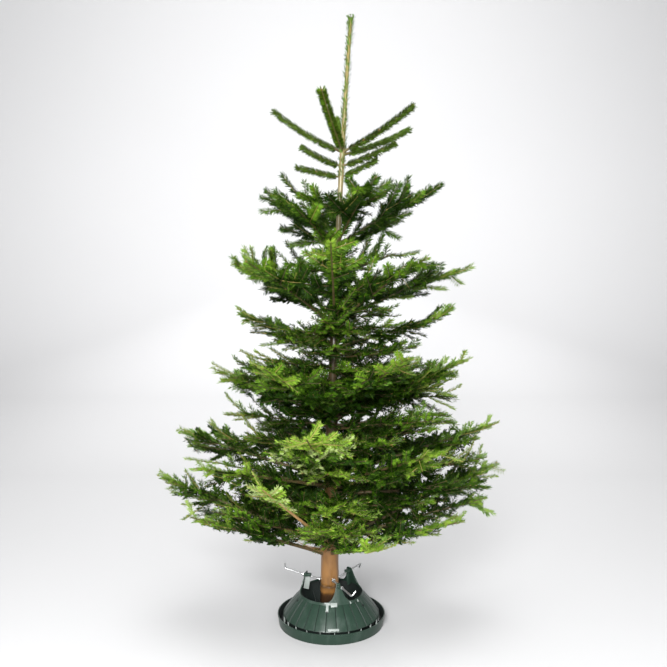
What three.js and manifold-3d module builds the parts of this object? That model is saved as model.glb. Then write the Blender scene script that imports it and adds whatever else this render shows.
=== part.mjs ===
// A cut fir tree, about 2.15 m tall, held in a dished plastic stand by three clamp screws.
// Millimetres, +Z up. The origin is the centre of the stand's flat underside.
//
// The trunk runs whole from its flat cut to the tip of the leader. Boughs leave it in whorls,
// one whorl for each year. The long boughs show a bare limb before their needles begin, and
// the short ones carry needles right up to the trunk.

import * as THREE from "three";
import { mergeVertices } from "three/addons/utils/BufferGeometryUtils.js";
import Module from "manifold-3d";

const wasm = await Module();
wasm.setup();

// ---------------------------------------------------------------- driving dimensions

const GAP = 0.3;                  // clearance between pieces that touch

// stand: tray, ribbed funnel, three ears and their clamp screws
const TRAY_RADIUS = 184;          // at the floor
const TRAY_FLARE = 4;             // how much wider the rim is
const TRAY_HEIGHT = 36;
const TRAY_FLOOR = 4;
const TRAY_WALL = 3.5;
const FUNNEL_BASE_RADIUS = 172;
const FUNNEL_RIM_RADIUS = 112;
const FUNNEL_RIM_HEIGHT = 113;
const FUNNEL_WALL = 4;
const WELL_FLOOR = 12;            // height of the floor that the trunk stands on
const WELL_FLOOR_RADIUS = 64;
const FUNNEL_PANELS = 28;
const RIM_WIDTH = 6;
const EAR_HEIGHT = 56;
const EAR_HALF_WIDTH = 36;        // at the rim
const EAR_TOP_HALF_WIDTH = 12;
const EAR_LEAN = 0.3;             // inward run for each unit of rise
const EAR_THICKNESS = 5;
const EARS = [                    // azimuth in degrees, and the way the handle's end turns
  { name: "left", azimuth: 165, turn: 0.1 },
  { name: "front", azimuth: -75, turn: 1.1 },
  { name: "back", azimuth: 45, turn: -0.6 },
];
const SCREW_RADIUS = 3.5;
const SCREW_HEIGHT = 38;          // above the funnel's rim, at the ear
const SCREW_SLOPE = 0.1;          // rise for each unit outward
const HANDLE_REACH = 76;          // beyond the ear
const HANDLE_TURN = 22;           // length of the turned end
const NUT_RADIUS = 8;
const NUT_LENGTH = 6;

// trunk
const TRUNK_FOOT = WELL_FLOOR + GAP;
const TRUNK_TOP = 2147;
const TRUNK_FOOT_X = -6;          // the trunk stands a little off the stand's centre
const TRUNK_LEAN = 76;            // sideways run from foot to tip
const TRUNK_LEAN_POWER = 1.65;
const TRUNK_FOOT_RADIUS = 33;
const TRUNK_TIP_RADIUS = 4;
const TRUNK_TAPER_POWER = 1.6;
const TRUNK_SIDES = 10;
const TRUNK_STEPS = 12;

// boughs and needles
const LIMB_SHARE = 0.3;           // bare part of a lowest bough, of its length
const LIMB_SLENDERNESS = 65;      // bough length over root radius
const STEM_TIP_RADIUS = 1.6;
const NODE_SPACING = 150;         // one year's growth along a bough
const BARE_SHARE = 0.2;           // inner part of a bough that carries no side shoots
const FORK_ANGLE = 52;            // degrees between a shoot and its parent
const TWIG_LENGTH = 320;          // side shoots longer than this fork again
const SHOOT_WIDTH = 50;           // across the needles
const SHOOT_BREADTH = 0.62;        // a side spray's width over its length
const SHOOT_THICKNESS = 0.15;     // of a spray's length
const CELL_MARGIN = 3;            // spare room kept to the next mass's space
const TRUNK_MARGIN = 3;
const STEM_END = 0.06;            // of the bough's length, left to its last spray
const NOTCH_SHARE = 0.2;          // half width of a blade between its teeth, over its width
const BLADE_ROOT = 2;             // half width and half thickness where a blade leaves its stem
const LONG_SHOOT = 190;           // a blade longer than this has a third pair of teeth
const SHOOT_BASE = 60;            // least length of a side shoot
const LIFT = 0.08;                // how much side shoots rise from their parent's plane
const ROLL = 0.75;                // radians a side spray is rolled about its own length
const SPRAY_SIZES = [1, 0.8, 0.6]; // tried in turn until a spray fits its space
const CREST_START = 0.3;          // an upright spray stands along a full bough from here,
const CREST_SHARE = 0.36;         // over this share of its length
const CREST_BREADTH = 0.4;        // the upright spray's height over the bough's length
const FORK_SHARE = 0.42;          // where a long side shoot forks, as a share of its length
const TWIG_OVERLAP = 1.25;        // how far its twig runs into the spray beyond the fork
const TWIG_RADIUS = 3;

// Whorls, top down. A bough is [azimuth, reach, rise, curl, offset]: degrees, how far out and
// how far up its tip lies from its root, how much it turns up (+) or flattens out (-) along
// its way, and its root's height above its whorl's.
// spread is a side shoot's length over the length of bough that is left beyond it. The end
// spray covers the share clad of the bough, and its width is the share broad of its length.
const SLIM = { spread: 0.15, clad: 0.85, broad: 0.2, crest: false };
const FULL = { spread: 0.62, clad: 0.42, broad: 0.6, crest: true };
const WHORLS = [
  { name: "crown", height: 1663, form: SLIM, boughs: [
    [178, 241, 144, 0.35, 0], [-107, 236, 130, 0.2, 4], [98, 170, 168, 0.1, 3],
    [-20, 253, 133, 0.35, 0], [28, 282, 129, 0.3, -10]] },
  { name: "collar", height: 1612, form: SLIM, boughs: [
    [185, 139, 64, 0.35, 0], [-12, 187, 70, 0.3, 0]] },
  { name: "ruff", height: 1573, form: SLIM, boughs: [
    [172, 158, 41, 0.1, 0], [10, 125, 66, 0.1, 0]] },
  { name: "plume", height: 1334, form: FULL, boughs: [
    [183, 268, 165, -0.6, 0], [-122, 270, 130, -0.2, -35], [-66, 290, 170, -0.3, 6],
    [-4, 330, 181, -0.1, 0], [42, 300, 150, -0.2, -30], [108, 310, 175, -0.2, 0]] },
  { name: "upper", height: 1057, form: FULL, boughs: [
    [176, 366, 210, -0.2, 0], [-135, 390, 200, -0.2, -14], [-92, 370, 225, -0.2, 8],
    [-42, 390, 205, -0.2, -6], [0, 440, 180, -0.2, 4], [62, 410, 200, -0.2, -4],
    [120, 400, 210, -0.2, 6]] },
  { name: "between", height: 978, form: FULL, boughs: [
    [166, 358, 112, 0, 0], [-12, 400, 120, 0, -12], [84, 360, 110, 0, -4]] },
  { name: "middle", height: 710, form: FULL, boughs: [
    [182, 422, 187, -0.1, 0], [-118, 430, 215, -0.2, -10], [-58, 430, 225, -0.2, 8],
    [-2, 474, 213, -0.1, 0], [62, 450, 180, -0.2, -10], [122, 450, 190, -0.2, 8]] },
  { name: "wide", height: 500, form: FULL, boughs: [
    [176, 553, 170, 0, 0], [-145, 505, 120, 0, -22], [-98, 480, 210, 0, 10],
    [-44, 490, 170, 0, -12], [2, 577, 184, 0, 8], [60, 530, 140, 0, -8], [120, 530, 140, 0, 6]] },
  { name: "low", height: 262, form: FULL, bareLimbs: true, boughs: [
    [184, 598, 256, 0, 6], [-156, 500, 190, 0, -26], [-114, 480, 300, 0, 10],
    [-70, 440, 145, 0, -20], [-31, 490, 165, 0, -4], [0, 590, 285, 0, 14],
    [55, 550, 190, 0, -10], [122, 550, 190, 0, 4]] },
];

// ---------------------------------------------------------------- materials

const BARK = { color: 0x986633, roughness: 0.7, metalness: 0 };
const LIMB_BARK = { color: 0x8a6238, roughness: 0.75, metalness: 0 };
const NEEDLES = { color: 0x4f7030, roughness: 0.5, metalness: 0 };
const GREEN_PLASTIC = { color: 0x3c5348, roughness: 0.4, metalness: 0 };
const STEEL = { color: 0xc8c8c8, roughness: 0.3, metalness: 1 };

// ---------------------------------------------------------------- solids

/** A closed geometry as a solid, with its shared vertices merged and its faces outward. */
function solidFrom(geometry) {
  const bare = geometry.clone();
  bare.deleteAttribute("normal");
  bare.deleteAttribute("uv");
  const merged = mergeVertices(bare, 1e-4);
  const position = merged.attributes.position.array;
  const index = merged.index.array;
  const corners = [0, 1, 2].map(() => new THREE.Vector3());
  const kept = [];
  let volume = 0;
  for (let i = 0; i < index.length; i += 3) {
    const [a, b, c] = [index[i], index[i + 1], index[i + 2]];
    if (a === b || b === c || c === a) continue;
    [a, b, c].forEach((vertex, k) => corners[k].fromArray(position, vertex * 3));
    volume += corners[0].dot(corners[1].clone().cross(corners[2]));
    kept.push(a, b, c);
  }
  if (volume < 0) kept.reverse();
  return new wasm.Manifold(new wasm.Mesh({
    numProp: 3,
    vertProperties: Float32Array.from(position),
    triVerts: Uint32Array.from(kept),
  }));
}

/** The geometry of a solid. */
function geometryFrom(solid) {
  const mesh = solid.getMesh();
  const geometry = new THREE.BufferGeometry();
  geometry.setAttribute("position", new THREE.BufferAttribute(mesh.vertProperties, 3));
  geometry.setIndex(new THREE.BufferAttribute(mesh.triVerts, 1));
  geometry.computeVertexNormals();
  return geometry;
}

/** The largest body of a solid: scraps that a cut leaves loose are dropped. */
function largestBody(solid) {
  const bodies = solid.decompose();
  bodies.sort((a, b) => b.volume() - a.volume());
  return bodies[0];
}

/** A round tapering solid that follows at(t) from one t to another. */
function tubeSolid({ at, radius, from = 0, to = 1, sides, steps, reference }) {
  const geometry = new THREE.CylinderGeometry(1, 1, 1, sides, steps);
  const position = geometry.attributes.position;
  const step = 1e-3;
  for (let i = 0; i < position.count; i += 1) {
    const t = from + (to - from) * (position.getY(i) + 0.5);
    const tangent = at(t + step).sub(at(t - step)).normalize();
    const side = reference.clone().addScaledVector(tangent, -reference.dot(tangent)).normalize();
    const normal = side.clone().cross(tangent);
    const point = at(t)
      .addScaledVector(side, position.getX(i) * radius(t))
      .addScaledVector(normal, position.getZ(i) * radius(t));
    position.setXYZ(i, point.x, point.y, point.z);
  }
  return solidFrom(geometry);
}

/** A repeatable source of numbers from 0 to 1. */
function randomFrom(seed) {
  let state = seed >>> 0;
  return () => {
    state = (Math.imul(state, 1664525) + 1013904223) >>> 0;
    return state / 2 ** 32;
  };
}

// ---------------------------------------------------------------- trunk

function trunkShare(height) {
  return THREE.MathUtils.clamp((height - TRUNK_FOOT) / (TRUNK_TOP - TRUNK_FOOT), 0, 1);
}

function trunkAxis(height) {
  const x = TRUNK_FOOT_X + TRUNK_LEAN * trunkShare(height) ** TRUNK_LEAN_POWER;
  return new THREE.Vector3(x, 0, height);
}

function trunkRadius(height) {
  const rest = (1 - trunkShare(height)) ** TRUNK_TAPER_POWER;
  return TRUNK_TIP_RADIUS + (TRUNK_FOOT_RADIUS - TRUNK_TIP_RADIUS) * rest;
}

/** The trunk, or the room that the pieces round it are cut clear of. */
function trunkSolid(clearance) {
  return tubeSolid({
    at: trunkAxis,
    radius: (height) => trunkRadius(height) + clearance,
    from: TRUNK_FOOT,
    to: TRUNK_TOP,
    sides: TRUNK_SIDES,
    steps: TRUNK_STEPS,
    reference: new THREE.Vector3(1, 0, 0),
  });
}

// ---------------------------------------------------------------- boughs

/** Every bough with its curve, in the order of the whorls. */
function plannedBoughs() {
  const boughs = [];
  for (const whorl of WHORLS) {
    whorl.boughs.forEach(([azimuth, reach, rise, curl, offset], i) => {
      const angle = THREE.MathUtils.degToRad(azimuth);
      const root = trunkAxis(whorl.height + offset);
      const out = new THREE.Vector3(Math.cos(angle), Math.sin(angle), 0);
      const length = Math.hypot(reach, rise);
      boughs.push({
        name: `${whorl.name}_${i + 1}`,
        seed: boughs.length + 1,
        form: whorl.form,
        length,
        out,
        side: new THREE.Vector3(-out.y, out.x, 0),
        rootRadius: length / LIMB_SLENDERNESS,
        limbShare: whorl.bareLimbs ? LIMB_SHARE : 0,
        at: (t) => root.clone()
          .addScaledVector(out, reach * t)
          .setZ(root.z + rise * ((1 - curl) * t + curl * t * t)),
      });
    });
  }
  return boughs;
}

function boughRadius(bough, t) {
  return THREE.MathUtils.lerp(bough.rootRadius, STEM_TIP_RADIUS, THREE.MathUtils.clamp(t, 0, 1) ** 0.8);
}

/** Points along each bough, by which a mass knows its own space. */
const CELL_STEPS = 12;
function cellPoints(bough) {
  const points = [];
  for (let i = 0; i <= CELL_STEPS; i += 1) points.push(bough.at(i / CELL_STEPS));
  return points;
}

function distanceToCurve(point, curve) {
  let nearest = Infinity;
  const segment = new THREE.Line3();
  const foot = new THREE.Vector3();
  for (let i = 0; i + 1 < curve.length; i += 1) {
    segment.set(curve[i], curve[i + 1]).closestPointToPoint(point, true, foot);
    nearest = Math.min(nearest, foot.distanceTo(point));
  }
  return nearest;
}

/** Whether a point lies in a mass's own space: nearest to its own bough, and off the trunk. */
function inOwnSpace(point, bough, curves) {
  const axis = trunkAxis(point.z);
  if (Math.hypot(point.x - axis.x, point.y - axis.y) < trunkRadius(point.z) + TRUNK_MARGIN) {
    return false;
  }
  const own = distanceToCurve(point, curves.get(bough));
  for (const [other, curve] of curves) {
    if (other === bough) continue;
    if (distanceToCurve(point, curve) < own + CELL_MARGIN) return false;
  }
  return true;
}

/** A toothed blade of needles, lens shaped across, from its root to its tip. */
function bladePoints({ root, along, across, length, width, teeth }) {
  const up = along.clone().cross(across).normalize();
  const pitch = length / teeth;
  const thick = (length * SHOOT_THICKNESS) / 2;
  const points = [];
  const faces = [];
  const add = (x, y, z) => points.push(root.clone()
    .addScaledVector(along, x).addScaledVector(across, y).addScaledVector(up, z)) - 1;
  const ridges = [];
  for (let i = 0; i < teeth; i += 1) {
    const half = i === 0 ? BLADE_ROOT : thick * (1 - (0.5 * (i - 1)) / teeth);
    ridges.push({ 1: add(pitch * i, 0, half), [-1]: add(pitch * i, 0, -half) });
  }
  const tip = add(length, 0, 0);
  for (const side of [1, -1]) {
    const notches = [];
    const tips = [];
    for (let i = 0; i < teeth; i += 1) {
      const last = i === teeth - 1;
      notches.push(add(pitch * i, side * (i === 0 ? BLADE_ROOT : width * NOTCH_SHARE), 0));
      tips.push(add(pitch * (i + (last ? 0.6 : 0.95)), side * width * (last ? 0.4 : 0.5), 0));
    }
    for (const face of [1, -1]) {
      const turn = (a, b, c) => (side * face > 0 ? faces.push(a, b, c) : faces.push(a, c, b));
      for (let i = 0; i < teeth; i += 1) {
        const ridge = ridges[i][face];
        turn(ridge, tips[i], notches[i]);
        if (i === teeth - 1) {
          turn(ridge, tip, tips[i]);
        } else {
          turn(ridge, notches[i + 1], tips[i]);
          turn(ridge, ridges[i + 1][face], notches[i + 1]);
        }
      }
    }
    faces.push(notches[0], ridges[0][-side], ridges[0][side]);
  }
  return { points, faces };
}

/** Points all over a blade: its corners and the middles of its edges. */
function bladeProbes({ points, faces }) {
  const probes = [...points];
  for (let i = 0; i < faces.length; i += 3) {
    for (let k = 0; k < 3; k += 1) {
      const [from, to] = [faces[i + k], faces[i + ((k + 1) % 3)]];
      if (from < to) probes.push(points[from].clone().lerp(points[to], 0.5));
    }
  }
  return probes;
}

function bladeSolid({ points, faces }) {
  const geometry = new THREE.BufferGeometry().setFromPoints(points);
  geometry.setIndex(faces);
  return solidFrom(geometry);
}

/** The bare limb that carries a long bough's needles. */
function limbSolid(bough, trunkRoom) {
  const limb = tubeSolid({
    at: bough.at,
    radius: (t) => boughRadius(bough, t),
    from: 0,
    to: bough.limbShare,
    sides: 5,
    steps: 2,
    reference: bough.side,
  });
  return largestBody(limb.subtract(trunkRoom));
}

/** A mass of needles: side shoots in pairs at each year's node, and needles on the stem. */
function massSolid(bough, curves, trunkRoom) {
  const random = randomFrom(bough.seed);
  const spread = (width) => (random() * 2 - 1) * width;
  const start = bough.limbShare > 0 ? bough.limbShare + GAP / bough.length : 0;
  const pieces = [tubeSolid({
    at: bough.at,
    radius: (t) => boughRadius(bough, t),
    from: start,
    to: 1 - STEM_END,
    sides: 4,
    steps: 3,
    reference: bough.side,
  })];

  const addBlade = (shoot) => {
    const roll = shoot.roll ?? spread(0.3) + ROLL * (random() < 0.5 ? -1 : 1);
    for (const scale of SPRAY_SIZES) {
      const length = shoot.length * (shoot.keepsLength ? 1 : scale);
      const blade = bladePoints({
        root: shoot.root,
        along: shoot.along,
        across: shoot.across.clone().applyAxisAngle(shoot.along, roll),
        length,
        width: shoot.width * scale,
        teeth: length > LONG_SHOOT ? 3 : 2,
      });
      if (bladeProbes(blade).every((point) => inOwnSpace(point, bough, curves))) {
        pieces.push(bladeSolid(blade));
        return;
      }
    }
  };

  const forkFrom = (shoot, side, length, at) => {
    const angle = THREE.MathUtils.degToRad(FORK_ANGLE + spread(8));
    const up = shoot.along.clone().cross(shoot.across).normalize();
    const along = shoot.along.clone().multiplyScalar(Math.cos(angle))
      .addScaledVector(shoot.across, side * Math.sin(angle))
      .addScaledVector(up, LIFT + spread(0.2)).normalize();
    const across = shoot.across.clone().multiplyScalar(Math.cos(angle))
      .addScaledVector(shoot.along, -side * Math.sin(angle));
    across.addScaledVector(along, -across.dot(along)).normalize();
    return {
      root: shoot.root.clone().addScaledVector(shoot.along, at),
      along,
      across,
      length,
      width: Math.max(SHOOT_WIDTH, length * SHOOT_BREADTH),
    };
  };

  const addSideShoot = (shoot) => {
    if (shoot.length <= TWIG_LENGTH) {
      addBlade(shoot);
      return;
    }
    const fork = shoot.length * FORK_SHARE;
    const twigAt = (t) => shoot.root.clone().addScaledVector(shoot.along, fork * TWIG_OVERLAP * t);
    if (![0.4, 0.7, 1].every((t) => inOwnSpace(twigAt(t), bough, curves))) return;
    pieces.push(tubeSolid({
      at: twigAt,
      radius: (t) => THREE.MathUtils.lerp(TWIG_RADIUS, STEM_TIP_RADIUS, t),
      sides: 3,
      steps: 1,
      reference: shoot.across,
    }));
    const tipShoot = {
      ...shoot,
      root: shoot.root.clone().addScaledVector(shoot.along, fork),
      length: shoot.length - fork,
    };
    tipShoot.width = Math.max(SHOOT_WIDTH, tipShoot.length * SHOOT_BREADTH);
    addBlade(tipShoot);
    for (const side of [1, -1]) {
      addBlade(forkFrom(shoot, side, shoot.length * 0.5, fork * 0.9));
    }
  };

  const stemFrame = (t) => {
    const along = bough.at(t + 0.02).sub(bough.at(t - 0.02)).normalize();
    return { root: bough.at(t), along, across: bough.side.clone() };
  };
  const bare = Math.max(start + 0.04, BARE_SHARE);
  const endSpray = Math.max(bare, 1 - bough.form.clad);
  const endLength = bough.at(1).distanceTo(bough.at(endSpray));
  addBlade({
    ...stemFrame(endSpray),
    along: bough.at(1).sub(bough.at(endSpray)).normalize(),
    length: endLength,
    width: Math.max(SHOOT_WIDTH, endLength * bough.form.broad),
    roll: spread(0.3),
    keepsLength: true,
  });
  if (bough.form.crest) {
    const crest = stemFrame(CREST_START);
    addBlade({
      ...crest,
      length: bough.length * CREST_SHARE,
      width: bough.length * CREST_BREADTH,
      roll: Math.PI / 2,
    });
  }
  for (let left = NODE_SPACING; left < bough.length * (1 - bare); left += NODE_SPACING) {
    const t = 1 - left / bough.length;
    for (const side of [1, -1]) {
      const length = (bough.length * (1 - t) * bough.form.spread + SHOOT_BASE) * (1 + spread(0.12));
      addSideShoot(forkFrom(stemFrame(t), side, length, 0));
    }
  }
  const mass = wasm.Manifold.union(pieces).subtract(trunkRoom);
  return largestBody(mass);
}

// ---------------------------------------------------------------- stand

/** A turned piece of flat panels about the stand's axis. */
function turned(profile, panels) {
  const points = profile.map(([radius, height]) => new THREE.Vector2(radius, height));
  const geometry = new THREE.LatheGeometry(points, panels);
  geometry.rotateX(Math.PI / 2);
  return solidFrom(geometry);
}

/** The dished tray that the funnel stands in. */
function traySolid() {
  const rim = TRAY_RADIUS + TRAY_FLARE;
  return turned([
    [0, 0],
    [TRAY_RADIUS, 0],
    [rim, TRAY_HEIGHT - 1],
    [rim - 1, TRAY_HEIGHT],
    [rim - TRAY_WALL, TRAY_HEIGHT],
    [TRAY_RADIUS - TRAY_WALL, TRAY_FLOOR],
    [0, TRAY_FLOOR],
  ], 36);
}

/** The ribbed funnel: a skin that slopes up to the rim, and a well inside it for the trunk. */
function funnelSolid() {
  const foot = TRAY_FLOOR + GAP;
  const inner = FUNNEL_RIM_RADIUS - RIM_WIDTH - 2;
  return turned([
    [0, WELL_FLOOR - FUNNEL_WALL],
    [WELL_FLOOR_RADIUS + FUNNEL_WALL, WELL_FLOOR - FUNNEL_WALL],
    [inner + FUNNEL_WALL + 1, FUNNEL_RIM_HEIGHT - 7],
    [FUNNEL_BASE_RADIUS - FUNNEL_WALL - 1, foot],
    [FUNNEL_BASE_RADIUS, foot],
    [FUNNEL_RIM_RADIUS, FUNNEL_RIM_HEIGHT - 1],
    [FUNNEL_RIM_RADIUS - 1, FUNNEL_RIM_HEIGHT],
    [inner + 1, FUNNEL_RIM_HEIGHT],
    [inner, FUNNEL_RIM_HEIGHT - 1],
    [WELL_FLOOR_RADIUS, WELL_FLOOR],
    [0, WELL_FLOOR],
  ], FUNNEL_PANELS);
}

/** Directions of an ear: outward from the stand's axis, and along its rim. */
function earFrame(ear) {
  const angle = THREE.MathUtils.degToRad(ear.azimuth);
  const out = new THREE.Vector3(Math.cos(angle), Math.sin(angle), 0);
  return { angle, out, side: new THREE.Vector3(-out.y, out.x, 0) };
}

/** The line of an ear's clamp screw, from the trunk outward through the ear. */
function screwLine(ear) {
  const { out } = earFrame(ear);
  const earRadius = FUNNEL_RIM_RADIUS - RIM_WIDTH / 2 - 1 - EAR_LEAN * SCREW_HEIGHT;
  const hole = out.clone().multiplyScalar(earRadius).setZ(FUNNEL_RIM_HEIGHT + SCREW_HEIGHT);
  const target = trunkAxis(hole.z);
  const outward = hole.clone().sub(target).setZ(0);
  const reach = outward.length();
  outward.normalize().setZ(SCREW_SLOPE).normalize();
  return { hole, outward, reach };
}

/** An ear that rises from the rim with hollowed sides, bent round with it, and its screw hole. */
function earSolid(ear) {
  const { angle } = earFrame(ear);
  const outline = new THREE.Shape();
  const baseSteps = 4;
  const topRadius = EAR_TOP_HALF_WIDTH;
  outline.moveTo(-EAR_HALF_WIDTH, 0);
  for (let i = 1; i <= baseSteps; i += 1) {
    outline.lineTo(-EAR_HALF_WIDTH + (2 * EAR_HALF_WIDTH * i) / baseSteps, 0);
  }
  const shoulder = EAR_HEIGHT - topRadius;
  outline.bezierCurveTo(EAR_HALF_WIDTH * 0.5, 5, topRadius + 2, shoulder * 0.5, topRadius, shoulder);
  outline.absarc(0, shoulder, topRadius, 0, Math.PI, false);
  outline.bezierCurveTo(-topRadius - 2, shoulder * 0.5, -EAR_HALF_WIDTH * 0.5, 5, -EAR_HALF_WIDTH, 0);
  const geometry = new THREE.ExtrudeGeometry(outline, {
    depth: EAR_THICKNESS, bevelEnabled: false, curveSegments: 4,
  });
  const position = geometry.attributes.position;
  const seat = FUNNEL_RIM_RADIUS - 1 - (RIM_WIDTH + EAR_THICKNESS) / 2;
  const sunk = 2;
  for (let i = 0; i < position.count; i += 1) {
    const height = position.getY(i);
    const radius = seat + position.getZ(i) - EAR_LEAN * height;
    const turn = angle - position.getX(i) / FUNNEL_RIM_RADIUS;
    position.setXYZ(i, radius * Math.cos(turn), radius * Math.sin(turn),
      FUNNEL_RIM_HEIGHT - sunk + height);
  }
  const { hole, outward } = screwLine(ear);
  const bore = tubeSolid({
    at: (t) => hole.clone().addScaledVector(outward, t),
    radius: () => SCREW_RADIUS + 2 * GAP,
    from: -30,
    to: 30,
    sides: 8,
    steps: 1,
    reference: new THREE.Vector3(0, 0, 1),
  });
  return solidFrom(geometry).subtract(bore);
}

/** A clamp screw: it presses on the trunk, carries a nut outside the ear, and ends in a handle. */
function screwSolid(ear) {
  const { side } = earFrame(ear);
  const { hole, outward, reach } = screwLine(ear);
  const trunkFace = trunkRadius(hole.z) + GAP * 2 - reach;
  const turnWay = side.clone().multiplyScalar(Math.sin(ear.turn))
    .add(new THREE.Vector3(0, 0, Math.cos(ear.turn)));
  const end = hole.clone().addScaledVector(outward, HANDLE_REACH);
  const route = new THREE.CurvePath();
  const bend = 5;
  const start = hole.clone().addScaledVector(outward, trunkFace);
  const beforeBend = end.clone().addScaledVector(outward, -bend);
  const afterBend = end.clone().addScaledVector(turnWay, bend);
  route.add(new THREE.LineCurve3(start, beforeBend));
  route.add(new THREE.QuadraticBezierCurve3(beforeBend, end, afterBend));
  route.add(new THREE.LineCurve3(afterBend, end.clone().addScaledVector(turnWay, HANDLE_TURN)));
  const section = new THREE.Shape().absarc(0, 0, SCREW_RADIUS, 0, Math.PI * 2, false);
  const rod = solidFrom(new THREE.ExtrudeGeometry(section, {
    extrudePath: route, steps: 9, curveSegments: 4, bevelEnabled: false,
  }));
  const collar = (from, length, radius) => tubeSolid({
    at: (t) => hole.clone().addScaledVector(outward, t),
    radius: () => radius,
    from,
    to: from + length,
    sides: 8,
    steps: 1,
    reference: new THREE.Vector3(0, 0, 1),
  });
  const nut = collar(EAR_THICKNESS * 1.5, NUT_LENGTH, NUT_RADIUS);
  const pad = collar(trunkFace + 1, 3, NUT_RADIUS);
  return wasm.Manifold.union([rod, nut, pad]);
}

// ---------------------------------------------------------------- assembly

const group = new THREE.Group();

function addPiece(name, solid, look) {
  const mesh = new THREE.Mesh(geometryFrom(solid), new THREE.MeshStandardMaterial(look));
  mesh.name = name;
  group.add(mesh);
}

function addStand() {
  addPiece("stand_tray", traySolid(), GREEN_PLASTIC);
  const moulding = wasm.Manifold.union([funnelSolid(), ...EARS.map(earSolid)]);
  addPiece("stand_funnel", moulding, GREEN_PLASTIC);
  for (const ear of EARS) {
    addPiece(`clamp_screw_${ear.name}`, screwSolid(ear), STEEL);
  }
}

function addTree() {
  addPiece("trunk", trunkSolid(0), BARK);
  const trunkRoom = trunkSolid(GAP);
  const boughs = plannedBoughs();
  const curves = new Map(boughs.map((bough) => [bough, cellPoints(bough)]));
  for (const bough of boughs) {
    if (bough.limbShare > 0) addPiece(`bough_${bough.name}`, limbSolid(bough, trunkRoom), LIMB_BARK);
    addPiece(`needles_${bough.name}`, massSolid(bough, curves, trunkRoom), NEEDLES);
  }
}

addStand();
addTree();

export default group;
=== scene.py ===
# %% [markdown]
# # A cut fir in its stand
#
# The tree is grown, not sculpted. A short table says where each bough leaves the trunk and how
# far it reaches, and one rule grows side shoots from it, year by year. Needles are laid along
# every shoot as small folded leaves, all in a few large meshes, because a fir carries several
# hundred thousand of them and separate objects would be far too heavy.
#
# The stand is made the other way, with bmesh operators, as a moulder would draw it: profiles
# are spun round the stand's axis, and its panels, ears and tabs are extruded and bevelled.

# %% Load the fixed frame
import math

import bmesh
import bpy
import numpy as np
from mathutils import Matrix, Vector, noise


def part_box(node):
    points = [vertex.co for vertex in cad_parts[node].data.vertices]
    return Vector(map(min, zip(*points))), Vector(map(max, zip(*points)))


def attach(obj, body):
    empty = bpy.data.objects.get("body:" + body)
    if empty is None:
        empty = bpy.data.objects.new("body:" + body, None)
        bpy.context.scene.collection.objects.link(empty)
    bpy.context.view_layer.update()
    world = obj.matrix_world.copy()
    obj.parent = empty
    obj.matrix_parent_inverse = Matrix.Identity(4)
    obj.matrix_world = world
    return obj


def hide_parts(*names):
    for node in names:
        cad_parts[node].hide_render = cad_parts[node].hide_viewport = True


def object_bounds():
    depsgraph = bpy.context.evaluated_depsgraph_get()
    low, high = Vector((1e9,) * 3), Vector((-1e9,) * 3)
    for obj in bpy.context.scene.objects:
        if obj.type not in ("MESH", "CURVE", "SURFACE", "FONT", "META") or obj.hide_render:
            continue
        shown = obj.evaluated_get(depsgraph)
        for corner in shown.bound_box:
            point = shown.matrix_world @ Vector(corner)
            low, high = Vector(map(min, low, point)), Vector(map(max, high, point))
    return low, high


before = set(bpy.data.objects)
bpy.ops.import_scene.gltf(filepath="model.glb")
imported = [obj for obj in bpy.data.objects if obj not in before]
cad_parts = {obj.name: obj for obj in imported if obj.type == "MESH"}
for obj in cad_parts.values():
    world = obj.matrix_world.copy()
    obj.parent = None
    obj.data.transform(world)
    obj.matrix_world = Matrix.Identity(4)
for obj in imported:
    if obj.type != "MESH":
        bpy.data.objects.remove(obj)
cad_box = [list(map(float, corner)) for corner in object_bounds()]
MM = 0.001
UP = np.array([0, 0, 1.0])
print("tree and stand:", cad_box)

# %% [markdown]
# ## Camera
# A level camera at about half the tree's height keeps the trunk upright in the view. Its
# distance, 2.3 m, is short for so tall a thing, so the lens is a moderate wide one.

# %% Camera
CAMERA_PLACE = (0.008, -2.323, 1.019)
SENSOR_WIDTH = 36.0
CAMERA_LENS = 35.35

lens = bpy.data.cameras.new("camera")
lens.lens = CAMERA_LENS
lens.sensor_width = SENSOR_WIDTH
camera = bpy.data.objects.new("camera", lens)
camera.location = CAMERA_PLACE
camera.rotation_euler = (math.radians(90), 0, 0)
bpy.context.scene.collection.objects.link(camera)
bpy.context.scene.camera = camera
print("camera at", tuple(camera.location))

# %% [markdown]
# ## The trunk's line
# The trunk stands in the well of the stand, a little off its centre, and leans slightly more
# towards its tip. Its radius falls off quickly low down and slowly near the leader, which is
# the growth of the last summer. Both are formulas of height, so anything that grows from the
# trunk can ask where its surface is.

# %% Trunk line and radius
trunk_low, trunk_high = (Vector(corner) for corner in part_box("trunk"))
FOOT = trunk_low.z / MM
TOP = trunk_high.z / MM
FOOT_X = -6
LEAN = 76
LEAN_POWER = 2.0
FOOT_RADIUS = 33
TIP_RADIUS = 4
TAPER_POWER = 1.6


def trunk_share(height):
    return np.clip((np.asarray(height, float) - FOOT) / (TOP - FOOT), 0, 1)


def trunk_axis(height):
    height = np.asarray(height, float)
    x = FOOT_X + LEAN * trunk_share(height) ** LEAN_POWER
    return np.stack([x, np.zeros_like(x), height], axis=-1)


def level_ways(azimuth):
    """Level directions at an azimuth in degrees: outwards, and square to that."""
    angle = math.radians(azimuth)
    out = np.array([math.cos(angle), math.sin(angle), 0.0])
    return out, np.array([-out[1], out[0], 0.0])


def trunk_radius(height):
    rest = (1 - trunk_share(height)) ** TAPER_POWER
    return TIP_RADIUS + (FOOT_RADIUS - TIP_RADIUS) * rest


print("trunk from", round(FOOT, 1), "to", round(TOP, 1), "mm")

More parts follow.
